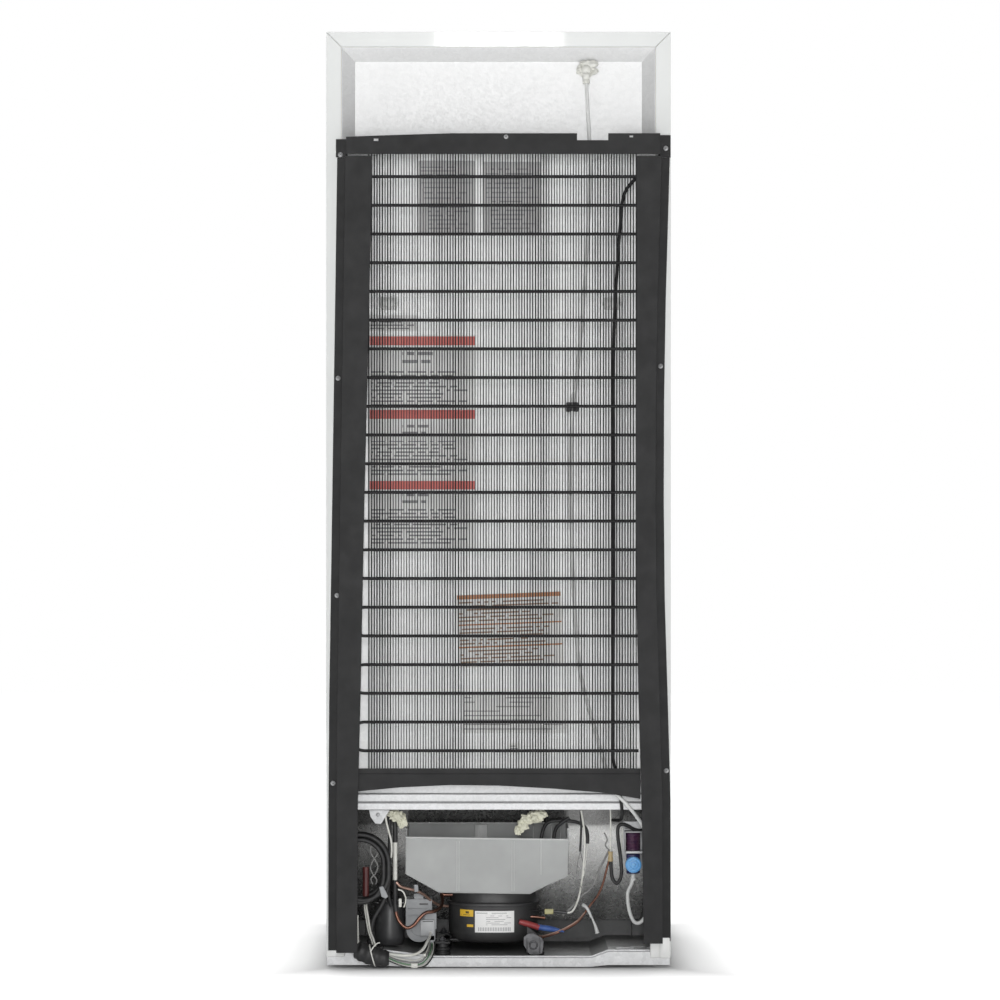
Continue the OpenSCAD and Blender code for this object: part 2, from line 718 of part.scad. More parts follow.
// Pan head screws: place on the frame and the depth of the sheet under the head
screw_places = [[279, 1027, 1], [281, 649, 1], [288, 322, 1], [-282, 1048, 1], [-292, 344, 1],
                [275, 1416, 2], [-291, 1427, 2]];
module frame_screws() color([0.85, 0.86, 0.86]) {
    for (s = screw_places) {
        y = rear_y + s[2] * sheet;
        rod_y([s[0], y, s[1]], 4.2, screw_h);
        rod_y([s[0], y + screw_h, s[1]], 3, 1);
    }
    rod_y([-13, bar_y, 1444], 4.2, screw_h);
}

riser_route = [[-262, 325, 1392], [-240, 325, 1375], [-218, 325, 1345], [-211, 324, 1287],
               [-204, 324, 1182], [-200, 324, 1077], [-200, 324, 870], [-200, 324, 660],
               [-199, 324, 465], [-198.5, 324, 378], [-204, 324, 340], [-212, 318, 300],
               [-214, 318, 262], [-200, 280, 255]];
module riser_tube() color(frame_black) sweep(smooth(riser_route, 5), tube_r + 0.2, 8);

// ---------- machine compartment ----------

comp_x = 10;
comp_y = rear_y - 118;
grommet_x = [-66, 98];
grommet_y = [rear_y - 178, rear_y - 50];

// Oval plan of the compressor shell
module shell_plan(g) {
    half = 78 + g;
    r = 66 + g;
    translate([-(half - r), 0]) circle(r = r);
    translate([half - r, 0]) circle(r = r);
    translate([-(half - r), -r]) square([2 * (half - r), 2 * r]);
}

module compressor() color([0.13, 0.13, 0.13]) {
    translate([comp_x, comp_y, 0]) {
        translate([0, 0, 44]) linear_extrude(58) shell_plan(0);
        translate([0, 0, 102]) linear_extrude(4) shell_plan(3);
        translate([0, 0, 106]) linear_extrude(44) shell_plan(-2);
        translate([0, 0, 150]) linear_extrude(8) shell_plan(-10);
        translate([0, 0, 158]) linear_extrude(4) shell_plan(-24);
        translate([0, 0, 36]) linear_extrude(8) shell_plan(-10);
    }
    difference() {
        union() {
            for (x = grommet_x)
                box([x - 13, grommet_y[0] - 13, 38], [x + 13, grommet_y[1] + 13, 41]);
            box([grommet_x[0], comp_y - 30, 38], [grommet_x[1], comp_y + 30, 41]);
        }
        for (x = grommet_x, y = grommet_y)
            rod_z([x, y, 30], 8.1, 20);
    }
    // Suction, discharge and process stubs
    rod_x([comp_x + 70, comp_y + 20, 118], 4, 16);
    rod_x([comp_x - 92, comp_y + 34, 80], 3, 30);
    rod_x([comp_x + 70, comp_y - 30, 118], 3, 20);
}

module compressor_grommets() color([0.16, 0.16, 0.16])
    for (x = grommet_x, y = grommet_y) difference() {
        union() {
            rod_z([x, y, pan_mid_z], 14, 20.5);
            rod_z([x, y, 37], 8, 5);
            rod_z([x, y, 41], 11, 5);
        }
        rod_z([x, y, pan_mid_z - 1], 3.2, 40);
    }

module relay_cover() color(plastic_grey) {
    y = [comp_y + 6, comp_y + 54];
    box([117, y[0], 60], [163, y[1], 113]);
    rod_y([140, y[0], 60], 22, y[1] - y[0]);
    // Connector on the face of the cover
    box([109, y[1] - 4, 62], [130, y[1] + 12, 90]);
    box([111, y[1] - 4, 42], [122, y[1] + 8, 62]);
}

module run_capacitor() color(plastic_grey) {
    p = [192, comp_y + 26];
    rod_z([p.x, p.y, 46], 26, 58);
    translate([p.x, p.y, 46]) intersection() {
        sphere(r = 26);
        translate([-30, -30, -15]) cube([60, 60, 16]);
    }
    rod_z([p.x, p.y, 104], 20, 4);
}

module filter_drier() color(copper) {
    p = [262, rear_y - 130];
    rod_z([p.x, p.y, 128], 7.5, 46);
    for (e = [[174, 7.5, 3], [128, 7.5, 3]])
        translate([p.x, p.y, e[0]]) {
            if (e[0] > 150) cylinder(r1 = 7.5, r2 = 3, h = 8);
            else mirror([0, 0, 1]) cylinder(r1 = 7.5, r2 = 3, h = 8);
        }
    rod_z([p.x, p.y, 181], 3, 12);
    rod_z([p.x, p.y, 108], 2, 13);
}

suction_route = [[181, rear_y - 34, 268], [181, rear_y - 34, 200], [181, rear_y - 34, 120], [179, rear_y - 33, 92],
                 [172, rear_y - 30, 76], [160, rear_y - 28, 67], [148, rear_y - 28, 72], [138, rear_y - 29, 84],
                 [127, rear_y - 31, 93], [114, rear_y - 36, 95], [102, rear_y - 60, 100],
                 [99, rear_y - 84, 110], [101, comp_y + 20, 118]];
module suction_line() color(copper) sweep(smooth(suction_route, 5), 3.2, 8);

// Tray that catches the defrost water over the compressor
tray_y = [rear_y - 172, rear_y - 26];
tray_rim = [[162.6, 225], [162.6, 161], [104, 128.5], [-55, 126], [-74, 136], [-121, 157], [-123, 221]];
module drain_pan() color(clear) {
    t = 2.5;
    // Deep trough behind the rear wall
    difference() {
        facing(tray_y[1] - 22, tray_y[1]) polygon(tray_rim);
        facing(tray_y[1] - 22 + t, tray_y[1] - t)
            polygon([[160, 230], [160, 163], [103, 131], [-54, 129], [-73, 138.5], [-118.5, 159], [-120.5, 230]]);
        box([-115, tray_y[1] - 30, 172 + t], [155, tray_y[1] - 12, 240]);
    }
    // Shallow part over the compressor
    difference() {
        box([-123, tray_y[0], 170], [162.6, tray_y[1] - 22, 238]);
        box([-120.5, tray_y[0] + t, 170 + t], [160, tray_y[1] - 10, 250]);
    }
}

module water_valve() color([0.75, 0.76, 0.76]) {
    y = rear_y - 46;
    difference() {
        box([-262, y - 20, 166], [-218, y - 18, 250]);
        for (z = [176, 240]) rod_y([-225, y - 24, z], 2.5, 10);
    }
    box([-262, y - 20, 248], [-222, y + 14, 250]);
    box([-262, y - 20, 196], [-222, y + 16, 201]);
    rod_z([-236, y, 201], 13, 47);
    rod_z([-236, y, 160], 12, 36);
    rod_y([-236, y + 8, 177], 14, 12);
    rod_z([-236, y, 152], 4, 8);
}

water_route = [[-153, 300, 1544], [-158, 322, 1445], [-160, 323, 1413], [-156.5, 323, 1305],
               [-148, 323, 1165], [-135.5, 323, 1025], [-128.5, 323, 978], [-125, 323, 850],
               [-128.5, 323, 710], [-134, 323, 605], [-141, 323, 523], [-156.5, 323, 456],
               [-174, 323, 395], [-188, 323, 345], [-203, 326, 308], [-226.5, 327, 282],
               [-251, 318, 247], [-264, 302, 205], [-267, 296, 150], [-263, 294, 104],
               [-251, 290, 80], [-238, 284, 77], [-229, 278, 96], [-226, 272, 124], [-232, 267, 140],
               [-236, 266, 151]];
module water_line() color(clear) {
    sweep(smooth(water_route, 3), 3.2, 8);
    // Elbow where the line enters the freezer
    rod_z([-153, 299, 1542], 6, 14);
    rod_y([-153, rear_y - panel_recess - sheet + 0.8, 1563], 14, 12);
    box([-170, rear_y - panel_recess - sheet + 0.8, 1556], [-136, rear_y - panel_recess + 3, 1570]);
}

// ---------- power cord ----------

coil_x = 242;
coil_z = 172;
coil_y = rear_y - 20;
coil_bend = 46;                         // radius of the round ends at the middle of the turns
coil_run = 18;                          // straight stretch between the round ends
coil_wide = 8.8;                        // half width of the two turns that lie side by side
coil_deep = 13;                         // half depth of the three turns behind each other

// Ring with round ends, grown by g from the middle of the turns
module stadium(g) {
    r = coil_bend + g;
    for (s = [-1, 1]) translate([coil_x, coil_z + s * coil_run / 2]) circle(r = r);
    translate([coil_x - r, coil_z - coil_run / 2]) square([2 * r, coil_run]);
}

module cord_coil() color([0.08, 0.08, 0.08])
    facing(coil_y - coil_deep, coil_y + coil_deep) difference() {
        stadium(coil_wide);
        stadium(-coil_wide);
    }

lead_route = [[222, 284, 62.8], [221, 284, 72], [216, 286, 86], [207, 288, 102], [199, 291, 122],
              [196, 292, 146]];
tail_route = [[288, coil_y, 150], [288, coil_y, 132], [287, coil_y, 112.6]];
module cord_lead() color([0.08, 0.08, 0.08]) {
    sweep(smooth(lead_route, 4), cord_r, 8);
    sweep(smooth(tail_route, 3), cord_r, 8);
}

// Boot on the base pan that the cord comes out of
module cord_boot() color([0.08, 0.08, 0.08]) {
    box([201, rear_y - 44, pan_side_z + 0.2], [247, rear_y - 17, 50]);
    rod_z([222, 284, 50], 8, 12.5);
}

module power_plug() color([0.08, 0.08, 0.08]) translate([286, coil_y, 104]) {
    box([-11, -9, -16], [11, 9, 0]);
    rod_z([0, 0, -0.5], 6.5, 8.5);
    for (x = [-6.3, 6.3])
        box([x - 0.8, -3, -33], [x + 0.8, 3, -16]);
    rod_z([0, 5, -35], 2.2, 20);
}

// ---------- assembly ----------

cabinet_wrapper();
rear_panel();
insulation_foam();
freezer_liner();
fridge_liner();
base_pan();
compartment_shield();
cross_rail();
hinges();
kick_grille();
condenser_rail_left();
condenser_rail_right();
condenser_top_bar();
condenser_bottom_bar();
condenser_tube();
condenser_wires();
frame_screws();
riser_tube();
compressor();
compressor_grommets();
relay_cover();
run_capacitor();
filter_drier();
suction_line();
drain_pan();
water_valve();
water_line();
cord_boot();
cord_coil();
cord_lead();
power_plug();
evaporator();
evaporator_cover();
fan_motor();
fan_blade();
freezer_shelf();
glass_shelves();
control_housing();
lamp();
fridge_dial();
freezer_dial();
door_switch();
crisper_drawer();
front_rollers();
rear_rollers();
levelling_foot(1);  // levelling_foot_left
levelling_foot(-1);  // levelling_foot_right
freezer_door();
freezer_door_foam();
freezer_door_liner();
freezer_door_racks();
freezer_gasket();
freezer_handle();
fridge_door();
fridge_door_foam();
fridge_door_liner();
fridge_gasket();
fridge_handle();
door_bins();
dairy_cover();
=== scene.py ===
import math
import random

import bmesh
import bpy
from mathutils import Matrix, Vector, noise


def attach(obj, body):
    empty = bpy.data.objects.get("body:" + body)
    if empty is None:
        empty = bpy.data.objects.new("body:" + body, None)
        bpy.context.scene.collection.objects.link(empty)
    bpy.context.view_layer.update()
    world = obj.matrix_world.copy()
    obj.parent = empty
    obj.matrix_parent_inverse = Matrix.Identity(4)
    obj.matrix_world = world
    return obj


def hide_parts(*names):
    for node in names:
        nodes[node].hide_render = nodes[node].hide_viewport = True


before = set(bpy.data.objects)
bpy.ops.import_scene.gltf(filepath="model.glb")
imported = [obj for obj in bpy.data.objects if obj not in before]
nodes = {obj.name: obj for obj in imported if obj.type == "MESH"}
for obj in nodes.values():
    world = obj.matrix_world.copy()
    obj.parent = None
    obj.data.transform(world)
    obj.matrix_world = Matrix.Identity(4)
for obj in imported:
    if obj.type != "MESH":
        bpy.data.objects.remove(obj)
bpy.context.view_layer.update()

scene = bpy.context.scene
unit = 0.001  # lengths in the settings are millimetres
alongY, alongZ = (0, 1, 0), (0, 0, 1)
print("frame loaded:", len(nodes), "nodes")


# mesh helpers

def smoothPath(points, steps=6):
    # a smooth curve through given points
    last = len(points) - 1
    found = []
    for i in range(last):
        p0, p1, p2, p3 = (Vector(points[min(max(i + k, 0), last)]) for k in (-1, 0, 1, 2))
        for k in range(steps):
            t = k / steps
            found.append(0.5 * (2 * p1 + (p2 - p0) * t + (2 * p0 - 5 * p1 + 4 * p2 - p3) * t * t
                                + (3 * p1 - p0 - 3 * p2 + p3) * t ** 3))
    found.append(Vector(points[last]))
    return found


def easeInOut(t):
    return t * t * (3 - 2 * t)


def roundedRing(centre, halfX, halfY, corner, height, steps=4):
    # a rectangle with round corners in X and Y
    corner = max(0.02, min(corner, halfX, halfY))
    ring = []
    for quarter, (sx, sy) in enumerate(((1, 1), (-1, 1), (-1, -1), (1, -1))):
        for k in range(steps + 1):
            a = math.radians(90 * (quarter + k / steps))
            ring.append((centre[0] + sx * (halfX - corner) + corner * math.cos(a),
                         centre[1] + sy * (halfY - corner) + corner * math.sin(a), height))
    return ring


class Shape:
    # gathers lofted parts in millimetres, then turns them into one piece
    def __init__(self):
        self.points = []
        self.faces = []

    def loft(self, rings, caps=True, loop=False):
        start, count = len(self.points), len(rings[0])
        for ring in rings:
            self.points.extend(Vector(p) * unit for p in ring)
        for i in range(len(rings) if loop else len(rings) - 1):
            a, b = start + i * count, start + (i + 1) % len(rings) * count
            for k in range(count):
                n = (k + 1) % count
                self.faces.append((a + k, a + n, b + n, b + k))
        if caps and not loop:
            end = start + (len(rings) - 1) * count
            self.faces.append(tuple(range(start + count - 1, start - 1, -1)))
            self.faces.append(tuple(range(end, end + count)))
        return self

    def block(self, low, high, edge=1.0, steps=3):
        # a box with round edges
        low, high = Vector(low), Vector(high)
        half, middle = (high - low) / 2, (high + low) / 2
        edge = min(edge, *half) * 0.999
        rings = []
        for side in (0, 1):
            for k in range(steps + 1):
                a = math.pi / 2 * (k if side == 0 else steps - k) / steps
                inset = edge * (1 - math.sin(a))
                rise = edge * (1 - math.cos(a))
                z = low.z + rise if side == 0 else high.z - rise
                rings.append(roundedRing(middle, half.x - inset, half.y - inset, edge - inset, z))
        return self.loft(rings)

    def turned(self, centre, axis, profile, sides=32):
        # pairs of radius and height, turned round an axis
        axis = Vector(axis).normalized()
        across = axis.orthogonal().normalized()
        other = axis.cross(across)
        rings = []
        for radius, height in profile:
            radius = max(radius, 0.01)
            rings.append([Vector(centre) + axis * height
                          + (across * math.cos(a) + other * math.sin(a)) * radius
                          for a in (2 * math.pi * k / sides for k in range(sides))])
        return self.loft(rings)

    def tube(self, points, radius, sides=10):
        # radius is a number, or a function of the share along the path
        points = [Vector(p) for p in points]
        last = len(points) - 1
        side = None
        rings = []
        for i, point in enumerate(points):
            ahead = (points[min(i + 1, last)] - points[max(i - 1, 0)]).normalized()
            if side is None:
                side = ahead.orthogonal().normalized()
            side = (side - ahead * side.dot(ahead)).normalized()
            other = ahead.cross(side)
            r = radius(i / last) if callable(radius) else radius
            rings.append([point + (side * math.cos(a) + other * math.sin(a)) * r
                          for a in (2 * math.pi * k / sides for k in range(sides))])
        return self.loft(rings)

    def line(self, points, radius, sides=10, steps=6):
        return self.tube(smoothPath(points, steps), radius, sides)

    def blocks(self, rows):
        for low, high, edge in rows:
            self.block(low, high, edge)
        return self

    def plate(self, outline, low, high):
        # an outline in X and Z, extruded between two planes
        return self.loft([[(x, y, z) for x, z in outline] for y in (low, high)])

    def lump(self, centre, size, rough, seed, detail=4):
        # a blob of set foam
        ball = bmesh.new()
        bmesh.ops.create_icosphere(ball, subdivisions=detail, radius=1)
        start = len(self.points)
        for v in ball.verts:
            d = v.co.normalized()
            push = 1 + rough * noise.fractal(d * 1.7 + Vector((seed, seed * 0.7, 3)), 0.8, 2.1, 3)
            self.points.append(Vector([c + s * x * push for c, s, x in zip(centre, size, d)]) * unit)
        self.faces.extend(tuple(start + v.index for v in f.verts) for f in ball.faces)
        ball.free()
        return self

    def build(self, name, finish, slot=None, sharp=38, bevel=0, stands=(), body="cabinet"):
        mesh = bpy.data.meshes.new(name)
        mesh.from_pydata(self.points, [], self.faces)
        work = bmesh.new()
        work.from_mesh(mesh)
        bmesh.ops.recalc_face_normals(work, faces=work.faces)
        work.to_mesh(mesh)
        work.free()
        mesh.shade_smooth()
        mesh.set_sharp_from_angle(angle=math.radians(sharp))
        piece = bpy.data.objects.new(name, mesh)
        scene.collection.objects.link(piece)
        mesh.materials.append(material[finish])
        if bevel:
            softenEdges(piece, bevel)
        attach(piece, body)
        if stands:
            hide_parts(*stands)
        return piece


def deeper(rows, y):
    # block rows moved along Y
    return [((a[0], y + a[1], a[2]), (b[0], y + b[1], b[2]), edge) for a, b, edge in rows]


def softenEdges(piece, width, steps=2):
    # rounds hard edges, for the light to catch
    weld = piece.modifiers.new("weld", "WELD")
    weld.merge_threshold = 0.00002
    edge = piece.modifiers.new("edge", "BEVEL")
    edge.width = width * unit
    edge.segments = steps
    edge.limit_method = "ANGLE"
    edge.angle_limit = math.radians(40)
    edge.use_clamp_overlap = True
    edge.harden_normals = True


# camera and power cord

camera = {"place": (-0.0026, 6.85, 0.815), "lens": 135.2}
cameraData = bpy.data.cameras.new("camera")
cameraData.lens = camera["lens"]
cameraData.sensor_width = 36
cameraData.clip_end = 60
cameraObject = bpy.data.objects.new("camera", cameraData)
cameraObject.location = camera["place"]
cameraObject.rotation_euler = (math.radians(90), 0, math.radians(180))
scene.collection.objects.link(cameraObject)
scene.camera = cameraObject

cord = {
    "radius": 4.2,
    "coil": (242, 292, 172),  # middle of the coil
    "bend": 46, "run": 18,  # round ends and the straight stretch between them
    "lanes": [(4.4, -8.6), (-4.4, -8.6), (-4.4, 0), (4.4, 0), (-4.4, 8.6), (4.4, 8.6)],
    "arc": 18,  # points on each half turn
    "lead": [(222, 284, 62.8), (221.5, 284, 72), (216.5, 285, 87), (206, 286, 104),
             (197, 285, 124), (192.4, 283.8, 146)],
    "tail": [(292.2, 300, 163), (290.8, 297.5, 147), (288.2, 293.8, 130), (287, 292.3, 119),
             (286.2, 292, 111)],
}


def cordRoute():
    cx, cy, cz = cord["coil"]
    half = cord["run"] / 2
    route = smoothPath(cord["lead"], 3)
    for turn, (out, deep) in enumerate(cord["lanes"]):
        for k in range(cord["arc"] + 1):
            a = math.pi * (1 - k / cord["arc"])
            r = cord["bend"] + out
            route.append(Vector((cx + r * math.cos(a), cy + deep, cz + half + r * math.sin(a))))
        if turn == len(cord["lanes"]) - 1:
            break
        nextOut, nextDeep = cord["lanes"][turn + 1]
        bothMove = nextOut != out and nextDeep != deep
        for k in range(cord["arc"] + 1):
            t = k / cord["arc"]
            share = easeInOut(t)
            first = easeInOut(min(1, 2 * t)) if bothMove else share
            second = easeInOut(max(0, 2 * t - 1)) if bothMove else share
            r = cord["bend"] + out + (nextOut - out) * second
            a = -math.pi * t
            route.append(Vector((cx + r * math.cos(a), cy + deep + (nextDeep - deep) * first,
                                 cz - half + r * math.sin(a))))
    return route + smoothPath(cord["tail"], 3)


cordPoints = [p * unit for p in cordRoute()]


# shader helpers

def operator(operation, swapped=False):
    def apply(self, other):
        return self.maths(operation, *((other, self) if swapped else (self, other)))
    return apply


class Wire:
    # one socket of a material, so that shader maths reads as plain sums
    def __init__(self, paint, socket):
        self.paint = paint
        self.socket = socket

    def maths(self, operation, *values):
        return self.paint.add("Math", {"operation": operation}, dict(enumerate(values)))

    def floor(self):
        return self.maths("FLOOR", self)

    __add__ = __radd__ = operator("ADD")
    __mul__ = __rmul__ = operator("MULTIPLY")
    __sub__, __rsub__ = operator("SUBTRACT"), operator("SUBTRACT", True)
    __truediv__, __rtruediv__ = operator("DIVIDE"), operator("DIVIDE", True)
    __gt__, __lt__ = operator("GREATER_THAN"), operator("LESS_THAN")


material = {}  # every new material, by its name


class Paint:
    # one new material, whose nodes all come from add
    def __init__(self, name):
        self.material = material[name] = bpy.data.materials.new(name)
        self.material.use_nodes = True
        self.tree = self.material.node_tree
        self.tree.nodes.clear()
        self.place = self.add("TexCoord", output="Object")

    def add(self, kind, settings=None, inputs=None, output=0):
        node = self.tree.nodes.new("ShaderNode" + kind)
        for key, value in (settings or {}).items():
            if key == "stops":
                stops = node.color_ramp.elements
                while len(stops) < len(value):
                    stops.new(1)
                for stop, (at, colour) in zip(stops, value):
                    stop.position = at
                    stop.color = (*colour, 1)
            else:
                setattr(node, key, value)
        for key, value in (inputs or {}).items():
            if isinstance(value, Wire):
                self.tree.links.new(value.socket, node.inputs[key])
            else:
                node.inputs[key].default_value = value
        return Wire(self, node.outputs[output])

    def grain(self, scale, detail=2, stretch=(1, 1, 1), seed=0):
        # soft noise from 0 to 1; scale is in waves per metre
        where = self.place if stretch == (1, 1, 1) and not seed else self.add(
            "Mapping", inputs={"Vector": self.place, "Location": (seed, seed, seed), "Scale": stretch})
        return self.add("TexNoise", inputs={"Vector": where, "Scale": scale, "Detail": detail})

    def mix(self, factor, first, second, blend="MIX"):
        first, second = ((*c, 1) if isinstance(c, tuple) else c for c in (first, second))
        return self.add("Mix", {"data_type": "RGBA", "blend_type": blend},
                        {0: factor, 6: first, 7: second}, output=2)

    def ramp(self, value, stops):
        return self.add("ValToRGB", {"stops": stops}, {"Fac": value})

    def axes(self):
        split = self.add("SeparateXYZ", inputs={"Vector": self.place})
        parts = [Wire(self, split.socket.node.outputs[k]) for k in range(3)]
        return [part * 1000 for part in parts]  # back to millimetres

    def bump(self, height, depth, strength=1.0):
        return self.add("Bump", inputs={"Height": height, "Distance": depth * unit,
                                        "Strength": strength})

    def finish(self, **sockets):
        named = {key.replace("_", " "): value for key, value in sockets.items()}
        named = {key: (*value, 1) if isinstance(value, tuple) else value
                 for key, value in named.items()}
        shader = self.add("BsdfPrincipled", inputs=named)
        node = self.tree.nodes.new("ShaderNodeOutputMaterial")
        self.tree.links.new(shader.socket, node.inputs["Surface"])


# colour, its patches, patches to a metre, roughness, its spread, grains to a metre,
# their depth in millimetres, metallic share, coat and gloss
finishes = {
    "whitePaint": ((0.57, 0.584, 0.575), (0.608, 0.621, 0.612), 4, 0.30, 0.10, 900, 0.03, 0, 0.25),
    "whitePlastic": ((0.78, 0.785, 0.775), (0.73, 0.735, 0.72), 12, 0.34, 0.12, 1500, 0.02),
    "framePaint": ((0.009, 0.009, 0.0095), (0.015, 0.015, 0.0155), 24, 0.52, 0.14, 1300, 0.03, 0, 0, 0.24),
    "condenserPaint": ((0.008, 0.008, 0.0085), (0.016, 0.016, 0.0165), 60, 0.46, 0.16, 1700, 0.02, 0, 0,
        0.25),
    "blackRubber": ((0.014, 0.014, 0.015), (0.024, 0.024, 0.024), 90, 0.52, 0.18, 2100, 0.03),
    "compressorPaint": ((0.030, 0.030, 0.031), (0.044, 0.044, 0.044), 30, 0.46, 0.16, 700, 0.08, 0, 0, 0.5),
    "greyPlastic": ((0.30, 0.31, 0.32), (0.25, 0.26, 0.27), 40, 0.42, 0.12, 1600, 0.03),
    "palePlastic": ((0.42, 0.43, 0.44), (0.36, 0.37, 0.38), 40, 0.40, 0.12, 1600, 0.03),
    "darkSteel": ((0.11, 0.11, 0.115), (0.05, 0.05, 0.052), 55, 0.40, 0.20, 900, 0.04, 0.7),
    "darkPlastic": ((0.045, 0.046, 0.048), (0.06, 0.06, 0.062), 40, 0.40, 0.15, 1500, 0.03),
    "zincPlate": ((0.42, 0.425, 0.43), (0.32, 0.325, 0.33), 55, 0.46, 0.20, 1200, 0.02, 0.4),
    "copperTube": ((0.24, 0.115, 0.08), (0.13, 0.07, 0.055), 45, 0.32, 0.25, 900, 0.02, 0.85),
    "paleCopper": ((0.42, 0.27, 0.22), (0.28, 0.18, 0.14), 60, 0.35, 0.20, 900, 0.02, 0.6),
    "brightMetal": ((0.70, 0.66, 0.55), (0.60, 0.55, 0.44), 90, 0.25, 0.15, 2000, 0.01, 1.0),
    "whiteWire": ((0.72, 0.72, 0.68), (0.60, 0.60, 0.55), 50, 0.42, 0.12, 1900, 0.02),
    "greyWire": ((0.20, 0.20, 0.20), (0.28, 0.28, 0.27), 70, 0.45, 0.15, 1900, 0.02),
    "greenWire": ((0.10, 0.22, 0.12), (0.16, 0.28, 0.16), 70, 0.45, 0.15, 1900, 0.02),
    "blueSleeve": ((0.045, 0.10, 0.34), (0.08, 0.16, 0.42), 70, 0.35, 0.15, 1600, 0.02),
    "redSleeve": ((0.34, 0.055, 0.055), (0.26, 0.04, 0.045), 70, 0.38, 0.15, 1600, 0.02),
    "darkRed": ((0.075, 0.018, 0.018), (0.10, 0.024, 0.022), 60, 0.38, 0.15, 1600, 0.02),
    "blueCap": ((0.10, 0.34, 0.68), (0.15, 0.42, 0.76), 80, 0.34, 0.14, 1500, 0.02),
    "valveCoil": ((0.045, 0.018, 0.050), (0.080, 0.028, 0.060), 120, 0.30, 0.18, 1100, 0.05, 0, 0.3),
    "valveBody": ((0.022, 0.022, 0.085), (0.030, 0.030, 0.11), 60, 0.36, 0.16, 1500, 0.02),
    "yellowTag": ((0.50, 0.46, 0.22), (0.40, 0.38, 0.20), 160, 0.45, 0.12, 1500, 0.01),
    "tanTape": ((0.46, 0.36, 0.20), (0.36, 0.27, 0.14), 160, 0.6, 0.12, 1500, 0.02),
    "aluminium": ((0.70, 0.71, 0.72), (0.60, 0.61, 0.62), 60, 0.30, 0.18, 1100, 0.02, 0.95),
    "gasketRubber": ((0.62, 0.63, 0.62), (0.56, 0.57, 0.56), 20, 0.50, 0.14, 1300, 0.03),
    "coatedWire": ((0.76, 0.77, 0.76), (0.70, 0.71, 0.70), 30, 0.32, 0.12, 1300, 0.02),
}


def plainFinish(name, colour, patch, size, rough, spread, grain, depth, metal=0.0, coat=0.0, gloss=0.5):
    paint = Paint(name)
    broad = paint.grain(size, 4)
    fine = paint.grain(grain, 1, seed=3.1)
    tone = paint.ramp(broad, [(0.35, patch), (0.62, colour)])
    paint.finish(Base_Color=tone, Roughness=rough + (paint.grain(size * 2.6, 3, seed=7.7) - 0.5) * spread,
                        Metallic=metal, Coat_Weight=coat, Specular_IOR_Level=gloss,
                        Normal=paint.bump(fine, depth, 0.6))


def galvanisedFinish(name, bright, dull, cell, rough, wave, streak=0.0, paintedShade=(), metal=0.93):
    # zinc spangle: flat crystals of slightly different tone over a gently uneven sheet
    paint = Paint(name)
    split, splitFine = (paint.add("SeparateColor", inputs={"Color": paint.add(
        "TexVoronoi", {"feature": "F1"}, {"Vector": paint.place, "Scale": scale}, output="Color")})
        for scale in (cell, cell * 2.3))
    level = split * 0.45 + splitFine * 0.30 + paint.grain(9, 5) * 0.45 - 0.1
    if streak:
        level = level - paint.grain(14, 4, (1, 1, 0.12), seed=2.3) * streak + streak * 0.5
    tone = paint.ramp(level, [(0.15, dull), (0.85, bright)])
    for axis, start, span, stops in paintedShade:  # painted shade along one axis, over a span in millimetres
        along = (paint.axes()["xyz".index(axis)] - start) / span + (paint.grain(6, 3, seed=8) - 0.5) * 0.12
        tone = paint.mix(1.0, tone, paint.ramp(along, [(at, (v, v, v)) for at, v in stops]), "MULTIPLY")
    uneven = paint.grain(5.5, 2, (1, 1, 0.6), seed=5) * wave
    paint.finish(Base_Color=tone, Metallic=metal, Roughness=rough + (splitFine - 0.5) * 0.10,
                        Normal=paint.bump(uneven, 1.0, 0.5))


def clearFinish(name, colour, alpha, rough, cloud=0.1, haze=0.07):
    # plastic that lets some light through, a little uneven in its depth
    paint = Paint(name)
    patchy = paint.grain(11, 3)
    tone = paint.mix(paint.grain(7, 4, seed=6), tuple(c * (1 - haze) for c in colour),
                     tuple(min(1, c * (1 + haze)) for c in colour))
    paint.finish(Base_Color=tone, Roughness=rough + (paint.grain(40, 2, seed=4) - 0.5) * 0.12,
                        Alpha=alpha + (patchy - 0.5) * cloud,
                        Normal=paint.bump(paint.grain(600, 2, seed=9), 0.02, 0.5))


def glassFinish(name, colour, rough):
    paint = Paint(name)
    smear = paint.grain(25, 4)
    paint.finish(Base_Color=paint.mix(smear, colour, tuple(c * 0.97 for c in colour)),
                        Roughness=rough + smear * 0.04, Transmission_Weight=0.92, IOR=1.5,
                        Normal=paint.bump(paint.grain(120, 2, seed=2), 0.01, 0.3))


def foamFinish(name, light, dark, pore):
    # set foam with pores and a tanned skin
    paint = Paint(name)
    cells = paint.add("TexVoronoi", {"feature": "F1"}, {"Vector": paint.place, "Scale": pore})
    broad = paint.grain(70, 4)
    tone = paint.mix(broad, light, dark)
    paint.finish(Base_Color=tone, Roughness=0.75 + (broad - 0.5) * 0.2,
                        Normal=paint.bump(broad + cells * 0.3, 1.2, 0.7))


